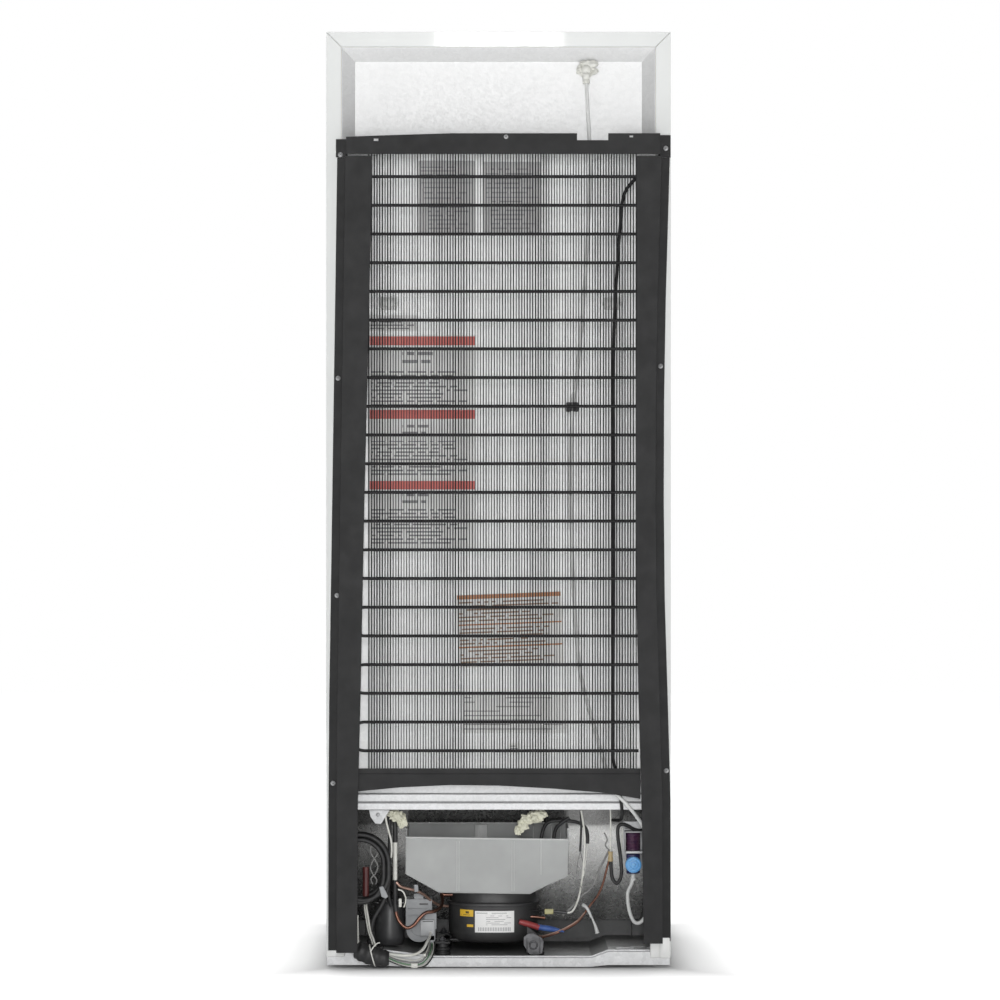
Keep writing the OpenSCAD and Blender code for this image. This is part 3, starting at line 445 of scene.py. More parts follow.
for name, row in finishes.items():
    plainFinish(name, *row)
# painted shade: the rear panel is darker at its top, above the condenser, for how light falls there
galvanisedFinish(
    "galvanised", (0.90, 0.905, 0.905), (0.82, 0.825, 0.825), 170, 0.5, 1.2,
    paintedShade=[("z", 1400, 90, [(0.25, 1.0), (0.55, 0.80)])], metal=0.25)
galvanisedFinish("railZinc", (0.60, 0.605, 0.61), (0.50, 0.505, 0.51), 260, 0.48, 1.0, metal=0.4)
galvanisedFinish("dullZinc", (0.44, 0.445, 0.45), (0.30, 0.305, 0.31), 120, 0.42, 1.6, 0.3,
                                        metal=0.6)
# painted shade and painted reflection: the shield is dark at the bottom, where the dark floor reflects, dark
# in a band at the top under the cross rail, and darker towards +X
galvanisedFinish(
    "shieldZinc", (0.76, 0.76, 0.75), (0.66, 0.66, 0.65), 90, 0.27, 2.6, 0.25,
    [("z", 50, 240, [(0.0, 0.34), (0.20, 0.44), (0.36, 0.88), (0.72, 1.0), (0.76, 0.9), (0.785, 0.36),
                     (0.93, 0.3)]),
     ("x", 100, 150, [(0.30, 1.0), (0.62, 0.58), (1.0, 0.50)])])
# painted shade: the pan is darker towards the front, deep in the machine compartment, and bright only at its
# rear edge
galvanisedFinish(
    "panZinc", (0.62, 0.625, 0.63), (0.48, 0.485, 0.49), 110, 0.44, 1.2, 0.2,
    [("y", 60, 250, [(0.0, 0.07), (0.45, 0.30), (0.80, 0.70), (0.96, 0.95)])], metal=0.5)
clearFinish("milkyPlastic", (0.43, 0.44, 0.435), 0.64, 0.36, 0.5, 0.3)
clearFinish("paleClear", (0.62, 0.63, 0.625), 0.72, 0.34, 0.2, 0.1)
clearFinish("clearPlastic", (0.86, 0.89, 0.90), 0.42, 0.16, 0.06)
clearFinish("waterTube", (0.80, 0.81, 0.80), 0.62, 0.30, 0.12)
glassFinish("shelfGlass", (0.86, 0.95, 0.92), 0.03)
glassFinish("lampGlass", (0.98, 0.96, 0.90), 0.18)
foamFinish("setFoam", (0.66, 0.65, 0.55), (0.50, 0.50, 0.38), 300)
foamFinish("boardFoam", (0.80, 0.74, 0.52), (0.70, 0.62, 0.40), 900)
print("finishes made:", len(material))

# every CAD node, also those that a finer piece stands for
nodeFinish = [
    # finish, width of the softened edges, nodes
    ("whitePaint", 0.7, "cabinet_wrapper"),
    ("galvanised", 0, "rear_panel"),
    ("boardFoam", 0, "insulation_foam freezer_door_foam fridge_door_foam"),
    ("whitePlastic", 0.6, "freezer_liner fridge_liner evaporator_cover"),
    ("panZinc", 0.5, "base_pan"),
    ("shieldZinc", 0, "compartment_shield"),
    ("railZinc", 0.5, "cross_rail"),
    ("zincPlate", 0.4, "hinges water_valve"),
    ("whitePlastic", 0.8,
        "freezer_door_racks fridge_dial freezer_dial door_switch freezer_door_liner fridge_door_liner"),
    ("whitePlastic", 0.5, "kick_grille"),
    ("framePaint", 0.4, "condenser_rail_left condenser_rail_right condenser_top_bar"),
    ("framePaint", 0.3, "condenser_bottom_bar"),
    ("condenserPaint", 0, "condenser_tube condenser_wires riser_tube"),
    ("zincPlate", 0.3, "frame_screws"),
    ("compressorPaint", 0, "compressor"),
    ("blackRubber", 0.8, "compressor_grommets power_plug"),
    ("greyPlastic", 1.6, "relay_cover"),
    ("darkPlastic", 1.5, "run_capacitor"),
    ("copperTube", 0.8, "filter_drier"),
    ("copperTube", 0, "suction_line"),
    ("milkyPlastic", 1.0, "drain_pan"),
    ("waterTube", 0, "water_line"),
    ("blackRubber", 1.5, "cord_boot"),
    ("blackRubber", 0, "cord_coil cord_lead"),
    ("aluminium", 0, "evaporator"),
    ("greyPlastic", 1.0, "fan_motor"),
    ("whitePlastic", 0.4, "fan_blade"),
    ("coatedWire", 0, "freezer_shelf"),
    ("shelfGlass", 0.8, "glass_shelves"),
    ("whitePlastic", 1.4, "control_housing"),
    ("lampGlass", 0, "lamp"),
    ("clearPlastic", 1.0, "crisper_drawer"),
    ("darkPlastic", 0.8, "front_rollers rear_rollers"),
    ("darkPlastic", 0.6, "levelling_foot_left levelling_foot_right"),
    ("whitePaint", 1.2, "freezer_door fridge_door"),
    ("gasketRubber", 1.6, "freezer_gasket fridge_gasket"),
    ("whitePlastic", 0, "freezer_handle fridge_handle"),
    ("clearPlastic", 0.8, "door_bins dairy_cover"),
]
for finish, edge, names in nodeFinish:
    for node in (nodes[name] for name in names.split()):
        node.data.materials.clear()
        node.data.materials.append(material[finish])
        if edge:
            softenEdges(node, edge)
print("CAD nodes finished:", sum(len(names.split()) for finish, edge, names in nodeFinish))


# stage: floor, light

floorSettings = {"half": 9, "light": (0.96, 0.96, 0.96), "dark": (0.93, 0.93, 0.93),
                 "foot": (300, 312), "fade": 170}  # the floor glows evenly, but a painted shadow under and round the cabinet takes the glow away near its foot
floorMesh = bpy.data.meshes.new("floor")
h = floorSettings["half"]
floorMesh.from_pydata([(-h, -h, 0), (h, -h, 0), (h, h, 0), (-h, h, 0)], [], [(0, 1, 2, 3)])
floor = bpy.data.objects.new("floor", floorMesh)
scene.collection.objects.link(floor)
floorPaint = Paint("floorPaint")
floorTone = floorPaint.mix(floorPaint.grain(3, 2), floorSettings["dark"], floorSettings["light"])
floorX, floorY = floorPaint.axes()[:2]
clearX = floorX.maths("ABSOLUTE", floorX) - floorSettings["foot"][0]
clearY = floorY.maths("ABSOLUTE", floorY) - floorSettings["foot"][1]
away = clearX.maths("MAXIMUM", clearX, clearY) / floorSettings["fade"]
# painted shadow: no glow under the cabinet's foot, rising to the even glow over the fade span
glowAndPaintedShadow = floorPaint.ramp(away, [(0.0, (0, 0, 0)), (0.25, (0.3, 0.3, 0.3)), (1.0, (0.88, 0.88, 0.88))])
floorPaint.finish(Base_Color=floorTone, Roughness=0.85, Emission_Color=glowAndPaintedShadow, Emission_Strength=1.0)
floorMesh.materials.append(floorPaint.material)

lights = {
    # place, aim, size, power in watts
    "strip": ((0, 7.2, 1.7), (0, 0, 0.8), (0.45, 3.2), 186),
    "key": ((2.6, 4.4, 3.6), (0, 0, 0.9), (2.2, 2.2), 16),
    "fill": ((-3.0, 4.0, 1.9), (0, 0, 0.8), (2.2, 2.2), 8),
    "front": ((1.8, -4.8, 3.2), (0, 0, 0.9), (2.8, 2.8), 100),
    "frontFill": ((-2.6, -4.4, 1.6), (0, 0, 0.8), (2.6, 2.6), 60),
    "above": ((0.2, -0.3, 4.6), (0, 0, 1.6), (3.0, 3.0), 42),
}
for name, (place, aim, size, power) in lights.items():
    data = bpy.data.lights.new(name, "AREA")
    data.shape = "RECTANGLE"
    data.size, data.size_y = size
    data.energy = power
    light = bpy.data.objects.new(name, data)
    light.location = place
    light.rotation_euler = (Vector(aim) - Vector(place)).to_track_quat("-Z", "Y").to_euler()
    scene.collection.objects.link(light)

studio = {"seen": 1.0, "cast": 0.12}
world = bpy.data.worlds.new("studio")
world.use_nodes = True
worldTree = world.node_tree
worldShader = worldTree.nodes["Background"]
worldShader.inputs["Color"].default_value = (1, 1, 1, 1)
rays = worldTree.nodes.new("ShaderNodeLightPath")
level = worldTree.nodes.new("ShaderNodeMapRange")
level.inputs["To Min"].default_value = studio["cast"]
level.inputs["To Max"].default_value = studio["seen"]
worldTree.links.new(rays.outputs["Is Camera Ray"], level.inputs["Value"])
worldTree.links.new(level.outputs["Result"], worldShader.inputs["Strength"])
scene.world = world
scene.view_settings.view_transform = "Standard"
print("stage set")


# power cord, plug and boot

def makeCord():
    data = bpy.data.curves.new("power_cord", "CURVE")
    data.dimensions = "3D"
    line = data.splines.new("POLY")
    line.points.add(len(cordPoints) - 1)
    for point, place in zip(line.points, cordPoints):
        point.co = (*place, 1)
    data.bevel_depth = cord["radius"] * unit
    data.bevel_resolution = 3
    data.use_fill_caps = True
    piece = bpy.data.objects.new("power_cord", data)
    scene.collection.objects.link(piece)
    data.materials.append(material["blackRubber"])
    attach(piece, "cabinet")
    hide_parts("cord_coil", "cord_lead")
    return piece


plug = {
    "middle": (286, 292),
    # height, half width, half depth, corner
    "sections": [(112, 5.2, 5.2, 5.2), (111, 5.7, 5.7, 5.7), (109.2, 5.7, 5.7, 5.7), (108.8, 5.0, 5.0, 5.0),
        (107.8, 5.0, 5.0, 5.0), (107.4, 6.2, 6.2, 6.2), (105.6, 6.4, 6.4, 6.3), (105.2, 5.6, 5.6, 5.6),
        (104.2, 5.8, 5.8, 5.8), (103.6, 8.2, 7.6, 6.4), (101.5, 10.2, 8.5, 6), (98, 10.9, 8.9, 5.5),
        (94, 10.4, 8.4, 5.4), (91, 10.9, 8.9, 5.2), (88.8, 10.8, 8.8, 5), (88.1, 10.1, 8.1, 4.6),
        (88, 9, 7, 4)],
    "blades": (-6.3, 6.3),
}


def makePlug():
    body = Shape().loft([roundedRing(plug["middle"], hx, hy, r, z, 5)
                         for z, hx, hy, r in plug["sections"]])
    grip = [(z, s) for z in (92.5, 95, 97.5, 100) for s in (-1, 1)]
    x, y = plug["middle"]
    for z, side in grip:  # ribs to hold it by
        body.block((x + side * 10.2 - 0.9, y - 5, z - 0.6), (x + side * 10.2 + 0.8, y + 5, z + 0.6), 0.5)
    piece = body.build("plug_body", "blackRubber", "cord_rubber",
                       stands=("power_plug",))
    pins = Shape()
    for d in plug["blades"]:
        pins.block((x + d - 0.8, y - 3, 71), (x + d + 0.8, y + 3, 88.6), 0.5)
    pins.turned((x, y + 5, 69), alongZ, [(0, 0), (1.2, 0.3), (2.0, 1.3), (2.2, 2.6), (2.2, 19.6)], 20)
    metal = pins.build("plug_pins", "brightMetal", "zinc_screws")
    return [piece, metal]


boot = {
    "low": (201, 268.2, 28.8), "high": (247, 295, 36),
    # radius and height of the tapered sleeve, with its grooves
    "sleeve": [(9.6, 0), (9.4, 4), (8.2, 4.6), (8.2, 6.4), (8.8, 7), (8.6, 10.5), (7.5, 11), (7.5, 12.8),
               (8, 13.4), (7.7, 17), (6.7, 17.6), (6.7, 19.4), (7, 20), (6.4, 25.8), (5.4, 26.6)],
}


def makeBoot():
    shape = Shape().block(boot["low"], boot["high"], 2.6)
    shape.turned((222, 284, 35.9), alongZ, boot["sleeve"], 28)
    return shape.build("cord_boot_sleeve", "blackRubber", "cord_rubber",
                       stands=("cord_boot",))


def makeCordTie():
    # a twist tie round the side of the coil
    shape = Shape()
    for z in (176, 179):
        loop = []
        for k in range(28):
            a = 2 * math.pi * k / 27
            loop.append((288 + 9.4 * math.cos(a), 292 + 14.2 * math.sin(a), z + 1.2 * math.sin(3 * a)))
        shape.tube(loop, 1.0, 8)
    shape.line([(279, 300, 178), (275, 304, 181), (272, 306, 187), (271, 305, 194)], 0.9, 8)
    shape.line([(279, 300, 177), (274, 305, 176), (270, 307, 171), (269, 305, 165)], 0.9, 8)
    return shape.build("cord_tie", "darkPlastic", "black_rubber")


cordPiece = makeCord()
plugPieces = makePlug()
makeBoot()
makeCordTie()


# condenser: wires, riser and screws

wires = {"first": -239, "pitch": 4.74, "count": 99, "low": 334, "high": 1425, "radius": 0.60,
         "middle": 335, "apart": 3.55, "bend": 0.22, "seed": 41}


def makeWires():
    # each wire is a little out of line, so the front and rear rows drift in and out of step
    chance = random.Random(wires["seed"])
    shape = Shape()
    for i in range(wires["count"]):
        for side in (-1, 1):
            x = wires["first"] + i * wires["pitch"] + chance.uniform(-0.2, 0.2)
            if side < 0:
                x += 0.85 * math.sin(i * 0.105 + 0.5) + 0.3 * math.sin(i * 0.31)
            y = wires["middle"] + side * wires["apart"]
            path = [(x + chance.uniform(-1, 1) * wires["bend"], y,
                     wires["low"] + (wires["high"] - wires["low"]) * k / 6) for k in range(7)]
            shape.tube(path, wires["radius"], 6)
    shape.build("condenser_wire_rows", "condenserPaint", "condenser_paint",
                stands=("condenser_wires",))


riser = {"radius": 2.9, "route": [
    (-262, 325, 1392), (-240, 325, 1375), (-218, 325, 1345), (-211, 324, 1287), (-204, 324, 1182),
    (-200, 324, 1077), (-200, 324, 870), (-200, 324, 660), (-199, 324, 465), (-198.5, 324, 378),
    (-204, 324, 340), (-212, 318, 300), (-214, 318, 262), (-200, 280, 255)]}

screws = {
    # place on the frame and the depth that the head sits at
    "places": [(279, 1027, 313.5), (281, 649, 313.5), (288, 322, 313.5), (-282, 1048, 313.5),
               (-292, 344, 313.5), (275, 1416, 315), (-291, 1427, 315), (-13, 1444, 347.3)],
    "head": [(0, -1), (2, -1), (2, 0), (4.3, 0), (4.35, 0.5), (3.9, 1.2), (3.0, 1.8), (1.6, 2.3), (0, 2.5)],
    "topHead": [(0, -1), (2, -1), (2, 0), (4.3, 0), (4.35, 0.5), (3.9, 1.1), (2.6, 1.6), (0, 2.1)],
}


def makeScrews():
    heads, slots = Shape(), Shape()
    for i, (x, z, y) in enumerate(screws["places"]):
        last = i == len(screws["places"]) - 1
        heads.turned((x, y, z), alongY, screws["topHead" if last else "head"], 28)
        top = y + (1.75 if last else 2.15)
        turn = math.radians(23 + 41 * i)
        for quarter in (0, math.pi / 2):
            dx, dz = math.cos(turn + quarter) * 2.1, math.sin(turn + quarter) * 2.1
            ex, ez = -math.sin(turn + quarter) * 0.42, math.cos(turn + quarter) * 0.42
            slots.plate([(x + dx + ex, z + dz + ez), (x - dx + ex, z - dz + ez),
                         (x - dx - ex, z - dz - ez), (x + dx - ex, z + dz - ez)], top, top + 0.35)
    heads.build("frame_screw_heads", "zincPlate", "zinc_screws",
                stands=("frame_screws",))
    slots.build("frame_screw_slots", "darkPlastic", "zinc_screws")


makeWires()
Shape().line(riser["route"], riser["radius"], 14, 8).build(
    "riser_line", "condenserPaint", "condenser_paint", stands=("riser_tube",))
makeScrews()
print("condenser finished")


# compressor

compressor = {
    "middle": (10, 194), "half": 78, "round": 66,
    # growth of the plan and height
    "shell": [(-56, 34.5), (-34, 34.8), (-18, 36), (-8, 39.5), (-3, 45), (0, 54), (0, 99), (0.4, 101),
              (3.4, 101.6), (3.9, 102.6), (3.9, 105.4), (3.2, 106.5), (-0.6, 107), (-1.8, 109), (-2.2, 124),
              (-4, 135), (-8, 144.5), (-15, 152.5), (-25, 158), (-39, 161.2), (-60, 162)],
    "feet": (-66, 98), "rows": (134, 262),
    # radius and height of a rubber cushion
    "cushion": [(0, 17.7), (13.4, 17.7), (14, 18.6), (14, 22), (13.4, 23), (10.8, 23.6), (10.6, 25.4),
                (12.8, 26.2), (13.2, 27.4), (13.0, 30), (10.2, 31.4), (9.6, 33), (9.4, 37.9), (0, 37.9)],
    "washer": [(0, 0), (9, 0), (9.2, 0.4), (9.2, 1.2), (8.8, 1.7), (0, 1.7)],
    "nut": [(0, 0), (5.4, 0), (5.8, 0.6), (5.8, 3.2), (5.2, 3.9), (3.1, 3.9), (3.0, 6.5), (2.3, 7.2),
            (0, 7.2)],
    "gusset": [(-50, 40), (-76, 40), (-73, 47), (-60, 58), (-50, 66)],
    "boss": [(0, 0), (7.6, 0), (8.2, 0.8), (7.4, 2), (5.8, 2.2), (5.2, 1.2), (0, 1.2)],
    "bracket": [(-44, 36), (-44, 50), (-52, 56), (-60, 57), (-76, 49), (-79, 42), (-77, 22), (-66, 17.8),
                (-54, 20)],
}


def shellRing(grow, z, sides=72):
    x, y = compressor["middle"]
    r = compressor["round"] + grow
    shift = compressor["half"] - compressor["round"]
    ring = []
    for k in range(sides):
        a = 2 * math.pi * (k + 0.5) / sides
        ring.append((x + math.copysign(shift, math.cos(a)) + r * math.cos(a), y + r * math.sin(a), z))
    return ring


def shellDepth(x, grow=0.0):
    # how far back the shell's wall reaches at x
    reach = max(0, abs(x - compressor["middle"][0]) - (compressor["half"] - compressor["round"]))
    r = compressor["round"] + grow
    return compressor["middle"][1] + math.sqrt(max(0, r * r - reach * reach))


def wallPatch(name, finish, x0, x1, z0, z1, lift=0.35, steps=18):
    # a thin label that follows the shell's wall
    rings = []
    for k in range(steps + 1):
        x = x0 + (x1 - x0) * k / steps
        y = shellDepth(x)
        rings.append([(x, y + lift, z0), (x, y + lift, z1), (x, y + 0.05, z1), (x, y + 0.05, z0)])
    return Shape().loft(rings).build(name, finish)


def makeCompressor():
    shell = Shape().loft([shellRing(g, z) for g, z in compressor["shell"]])
    shell.build("compressor_shell", "compressorPaint", "compressor_paint",
                sharp=50, stands=("compressor",))
    feet, bolts, cushions = Shape(), Shape(), Shape()
    y0, y1 = compressor["rows"]
    for x in compressor["feet"]:
        feet.block((x - 13, y0 - 13, 38), (x + 13, y1 + 13, 41), 1.3)
        for y in (y0, y1):
            bolts.turned((x, y, 40.9), alongZ, compressor["washer"])
            bolts.turned((x, y, 42.4), alongZ, compressor["nut"], 6)
            cushions.turned((x, y, 0), alongZ, compressor["cushion"], 32)
    feet.block((-66, 164, 38), (98, 224, 41), 1.3)
    # gussets between the shell and the right foot
    for y in (238, 252):
        feet.plate(compressor["gusset"], y, y + 2)
    feet.build("compressor_feet", "compressorPaint", "compressor_paint", bevel=0.4)
    bolts.build("compressor_bolts", "darkSteel", "zinc_screws")
    cushions.build("compressor_cushions", "blackRubber", "black_rubber",
                   stands=("compressor_grommets",))
    bracket = Shape()
    bracket.plate(compressor["bracket"], 276.5, 278)
    bracket.turned((-61, 277.6, 36), alongY, compressor["boss"], 28)
    for x in (-50, -72):
        bracket.block((x - 1.2, 277, 22), (x + 1.2, 279.6, 48), 0.8)
    bracket.build("compressor_bracket", "darkSteel", "compressor_paint", bevel=0.4)
    stubs = Shape()
    stubs.tube([(66, 214, 118), (86, 214, 118), (101, 214, 118)], 4.2, 16)
    stubs.line([(66, 164, 118), (88, 164, 118), (100, 164, 120)], 3, 14)
    stubs.line([(-52, 228, 80), (-66, 228, 80), (-82, 227, 78)], 3, 14)
    stubs.build("compressor_stubs", "copperTube", "copper")


makeCompressor()


# relay cover

relay = {
    "face": 248,
    # profiles are radius and height; the places are X and Z on the face
    "disc": ((140, 62), [(0, 0), (13, 0), (13, 1.2), (12.4, 1.8), (0, 1.8)]),
    "stud": ((117, 55), [(0, 0), (2.6, 0), (2.6, 1.0), (1.9, 1.4), (0, 1.4)]),
    # low and high corner, with Y counted from the face, and edge
    "ribs": [((121, -0.4, 96), (159, 1.3, 97.4), 0.5), ((121, -0.4, 84), (159, 1.3, 85.4), 0.5)],
    "hook": [((132, -2, 112.5), (148, -14, 116.5), 1.0)],
    "connector": [((111.6, 2, 50), (137.6, 15, 79), 1.8), ((111.6, 1, 35), (122, 8, 52), 1.0)],
    "slots": [((124, -0.3, 103.2), (139, 0.25, 106.2), 0.2), ((115, 14.8, 75), (133, 15.2, 76.6), 0.2)],
}


def makeRelayDetails():
    y = relay["face"]
    ribs, hook, connector, slots = (deeper(relay[part], y) for part in ("ribs", "hook", "connector", "slots"))
    (x, z), profile = relay["disc"]
    trim = Shape().blocks(ribs).turned((x, y - 0.4, z), alongY, profile, 36)
    trim.blocks(hook).build("relay_trim", "greyPlastic", "grey_plastic")
    (x, z), profile = relay["stud"]
    pale = Shape().blocks(connector).turned((x, y + 14.6, z), alongY, profile, 18)
    pale.build("relay_connector", "palePlastic", "grey_plastic")
    Shape().blocks(slots).build("relay_slots", "darkPlastic", "grey_plastic")


makeRelayDetails()


# drain tray trim

tray = {"near": 286, "far": 142.5, "rim": 1.7, "ribs": (70.8, -25.4), "tab": (19.2, 42.9),
        "baffles": (-62, -78, -94, -110)}


def makeTrayTrim():
    near, far = tray["near"], tray["far"]
    shape = Shape()
    shape.tube([(162, near - 1, 225.2), (-122.4, near - 1, 221.2)], tray["rim"])
    shape.tube([(162, near - 20, 238), (162, far - 1, 238), (-122.4, far - 1, 238),
                (-122.4, near - 20, 238)], tray["rim"])
    for x in tray["ribs"]:
        for d in (-1.9, 1.9):
            shape.block((x + d - 0.6, near - 0.6, 131), (x + d + 0.6, near + 0.8, 219), 0.4)
    x0, x1 = tray["tab"]
    shape.block((x0, far - 0.4, 174), (x1, far + 3.4, 236), 1.2)
    for k in range(6):
        x = x0 + 2 + (x1 - x0 - 4) * k / 5
        shape.block((x - 0.7, far + 3, 176), (x + 0.7, far + 4.6, 235), 0.4)
    for x in tray["baffles"]:
        shape.block((x - 0.9, far, 174), (x + 0.9, far + 26, 236), 0.6)
    shape.block((-75, near - 0.4, 160), (-73.4, near + 0.7, 221), 0.4)
    shape.build("drain_tray_trim", "paleClear", "clear_plastic")


makeTrayTrim()


# refrigerant and water lines

suction = {"radius": 3.2, "cover": 4.4, "route": [
    (181, 278, 268), (181, 278, 200), (181, 278, 120), (179, 279, 92), (172, 282, 76), (160, 284, 67),
    (148, 284, 72), (138, 283, 84), (127, 281, 93), (114, 276, 95), (102, 252, 100), (99, 228, 110),
    (101, 214, 118)]}

waterLine = {"radius": 3.2, "route": [
    (-153, 300, 1544), (-158, 322, 1445), (-160, 323, 1413), (-156.5, 323, 1305), (-148, 323, 1165),
    (-135.5, 323, 1025), (-128.5, 323, 978), (-125, 323, 850), (-128.5, 323, 710), (-134, 323, 605),
    (-141, 323, 523), (-156.5, 323, 456), (-174, 323, 395), (-188, 323, 345), (-203, 326, 308),
    (-226.5, 327, 282), (-251, 318, 247), (-264, 302, 205), (-267, 296, 150), (-263, 294, 104),
    (-251, 290, 80), (-238, 284, 77), (-229, 278, 96), (-226, 272, 124), (-232, 267, 140),
    (-236, 266, 151)]}


fitting = {
    "nut": [(0, 0), (4.6, 0), (6.2, 0.8), (6.4, 6), (5.6, 7), (5.6, 9), (6.6, 10), (6.6, 16), (5.5, 17.5),
            (0, 18)],
    "flange": [(0, 0), (14, 0), (14.4, 0.8), (14.2, 2.2), (9.2, 3.2), (8.6, 9), (7, 11.5), (0, 12.5)],
    "tongue": [((-171, 288.2, 1559), (-136, 291.2, 1570), 1.2)],
    # middle and half size of each lump
    "sealant": [((-157, 293, 1575), (15, 6, 8)), ((-146, 292, 1568), (9, 5, 9)),
                ((-166, 292, 1564), (8, 4.5, 6)), ((-152, 296, 1560), (8, 5, 6))],
}


def makeLines():
    Shape().line(suction["route"], suction["radius"], 16, 8).build(
        "suction_tube", "copperTube", "copper", stands=("suction_line",))
    cover = Shape()
    cover.line([(181, 278, 270), (181, 278, 245), (181, 278, 216)], suction["cover"], 16)
    cover.line([(181, 278, 150), (181, 278, 128), (180.6, 278.2, 108), (179.4, 278.8, 95)],
               suction["cover"], 16)
    cover.build("suction_insulation", "blackRubber", "black_rubber")
    Shape().line([(181, 278, 217), (181, 278, 200), (181, 278, 170), (181, 278, 149)], 4.0, 16).build(
        "suction_sleeve", "whiteWire", "white_plastic")
    Shape().line(waterLine["route"], waterLine["radius"], 14, 8).build(
        "water_tube", "waterTube", "clear_plastic", stands=("water_line",))
    elbow = Shape().turned((-153, 299, 1541), alongZ, fitting["nut"], 24)
    elbow.turned((-153, 289, 1566), alongY, fitting["flange"], 30).blocks(fitting["tongue"])
    for seed, (place, size) in enumerate(fitting["sealant"]):
        elbow.lump(place, size, 0.5, seed + 2, 3)
    elbow.build("water_fitting", "whiteWire", "clear_plastic", sharp=50)


makeLines()
print("lines made")


# water valve

valve = {
    "middle": -236, "depth": 266,
    # low and high corner, with Y counted from the valve's depth, and edge
    "bracket": [((-262, -20, 166), (-218, -18, 250), 0.6), ((-262, -20, 233), (-221, 14, 235), 0.6),
                ((-262, -20, 196.4), (-222, 16.4, 201), 1.2), ((-222.4, -19, 200), (-220.6, 10, 234), 0.6)],
    "foot": [((-248, -6, 166), (-224, 9, 190), 2)],
    # radius and height
    "rivet": [(0, 0), (3.6, 0), (3.6, 1), (2.4, 1.8), (0, 2)], "rivetHeights": (176, 240),
    "coilLow": [(0, 201.2), (12.4, 201.2), (13, 202)], "coilHigh": [(13, 231), (12, 232), (0, 232.2)],
    "grooves": 10, "grooveStep": 2.8,
    "body": [(0, 160), (8, 160), (12, 162), (12, 194), (9, 195.4), (0, 196)],
    "neck": [(0, 148), (4.6, 148), (5.2, 149), (5.2, 152), (4, 153), (4, 161)],
    "cap": [(0, 0), (13.2, 0), (14, 0.8), (14, 10), (13.2, 11.6), (11.6, 12), (11, 11.2), (9, 11.2),
            (8.4, 12.2), (6.6, 12.4), (6, 11.4), (4, 11.4), (3.4, 12.4), (1.4, 12.6), (0, 12.6)],
    "capHeight": 177, "capRibs": 24, "ribReach": 13.7, "ribRadius": 0.75,
}


def makeValve():
    x, y = valve["middle"], valve["depth"]
    plates = Shape().blocks(deeper(valve["bracket"], y))
    for z in valve["rivetHeights"]:
        plates.turned((-225, y - 18.2, z), alongY, valve["rivet"], 20)
    plates.build("valve_bracket", "zincPlate", "valve_plastic", stands=("water_valve",))
    rows = list(valve["coilLow"])
    for k in range(valve["grooves"]):
        rows += [(13, 203 + valve["grooveStep"] * k), (12.2, 204.4 + valve["grooveStep"] * k)]
    coil = Shape().turned((x, y, 0), alongZ, rows + valve["coilHigh"], 36)
    coil.build("valve_coil", "valveCoil", "valve_plastic")
    body = Shape().turned((x, y, 0), alongZ, valve["body"]).blocks(deeper(valve["foot"], y))
    body.build("valve_body", "valveBody", "valve_plastic")
    Shape().turned((x, y, 0), alongZ, valve["neck"], 24).build("valve_neck", "waterTube", "valve_plastic")
    z, reach = valve["capHeight"], valve["ribReach"]
    cap = Shape().turned((x, y + 8, z), alongY, valve["cap"], 40)
    for k in range(valve["capRibs"]):
        a = 2 * math.pi * k / valve["capRibs"]
        ribX, ribZ = x + reach * math.cos(a), z + reach * math.sin(a)
        cap.tube([(ribX, y + 9.5, ribZ), (ribX, y + 18, ribZ)], valve["ribRadius"], 8)
    cap.build("valve_cap", "blueCap", "valve_plastic")


makeValve()


# loose wiring and hoses in the compartment

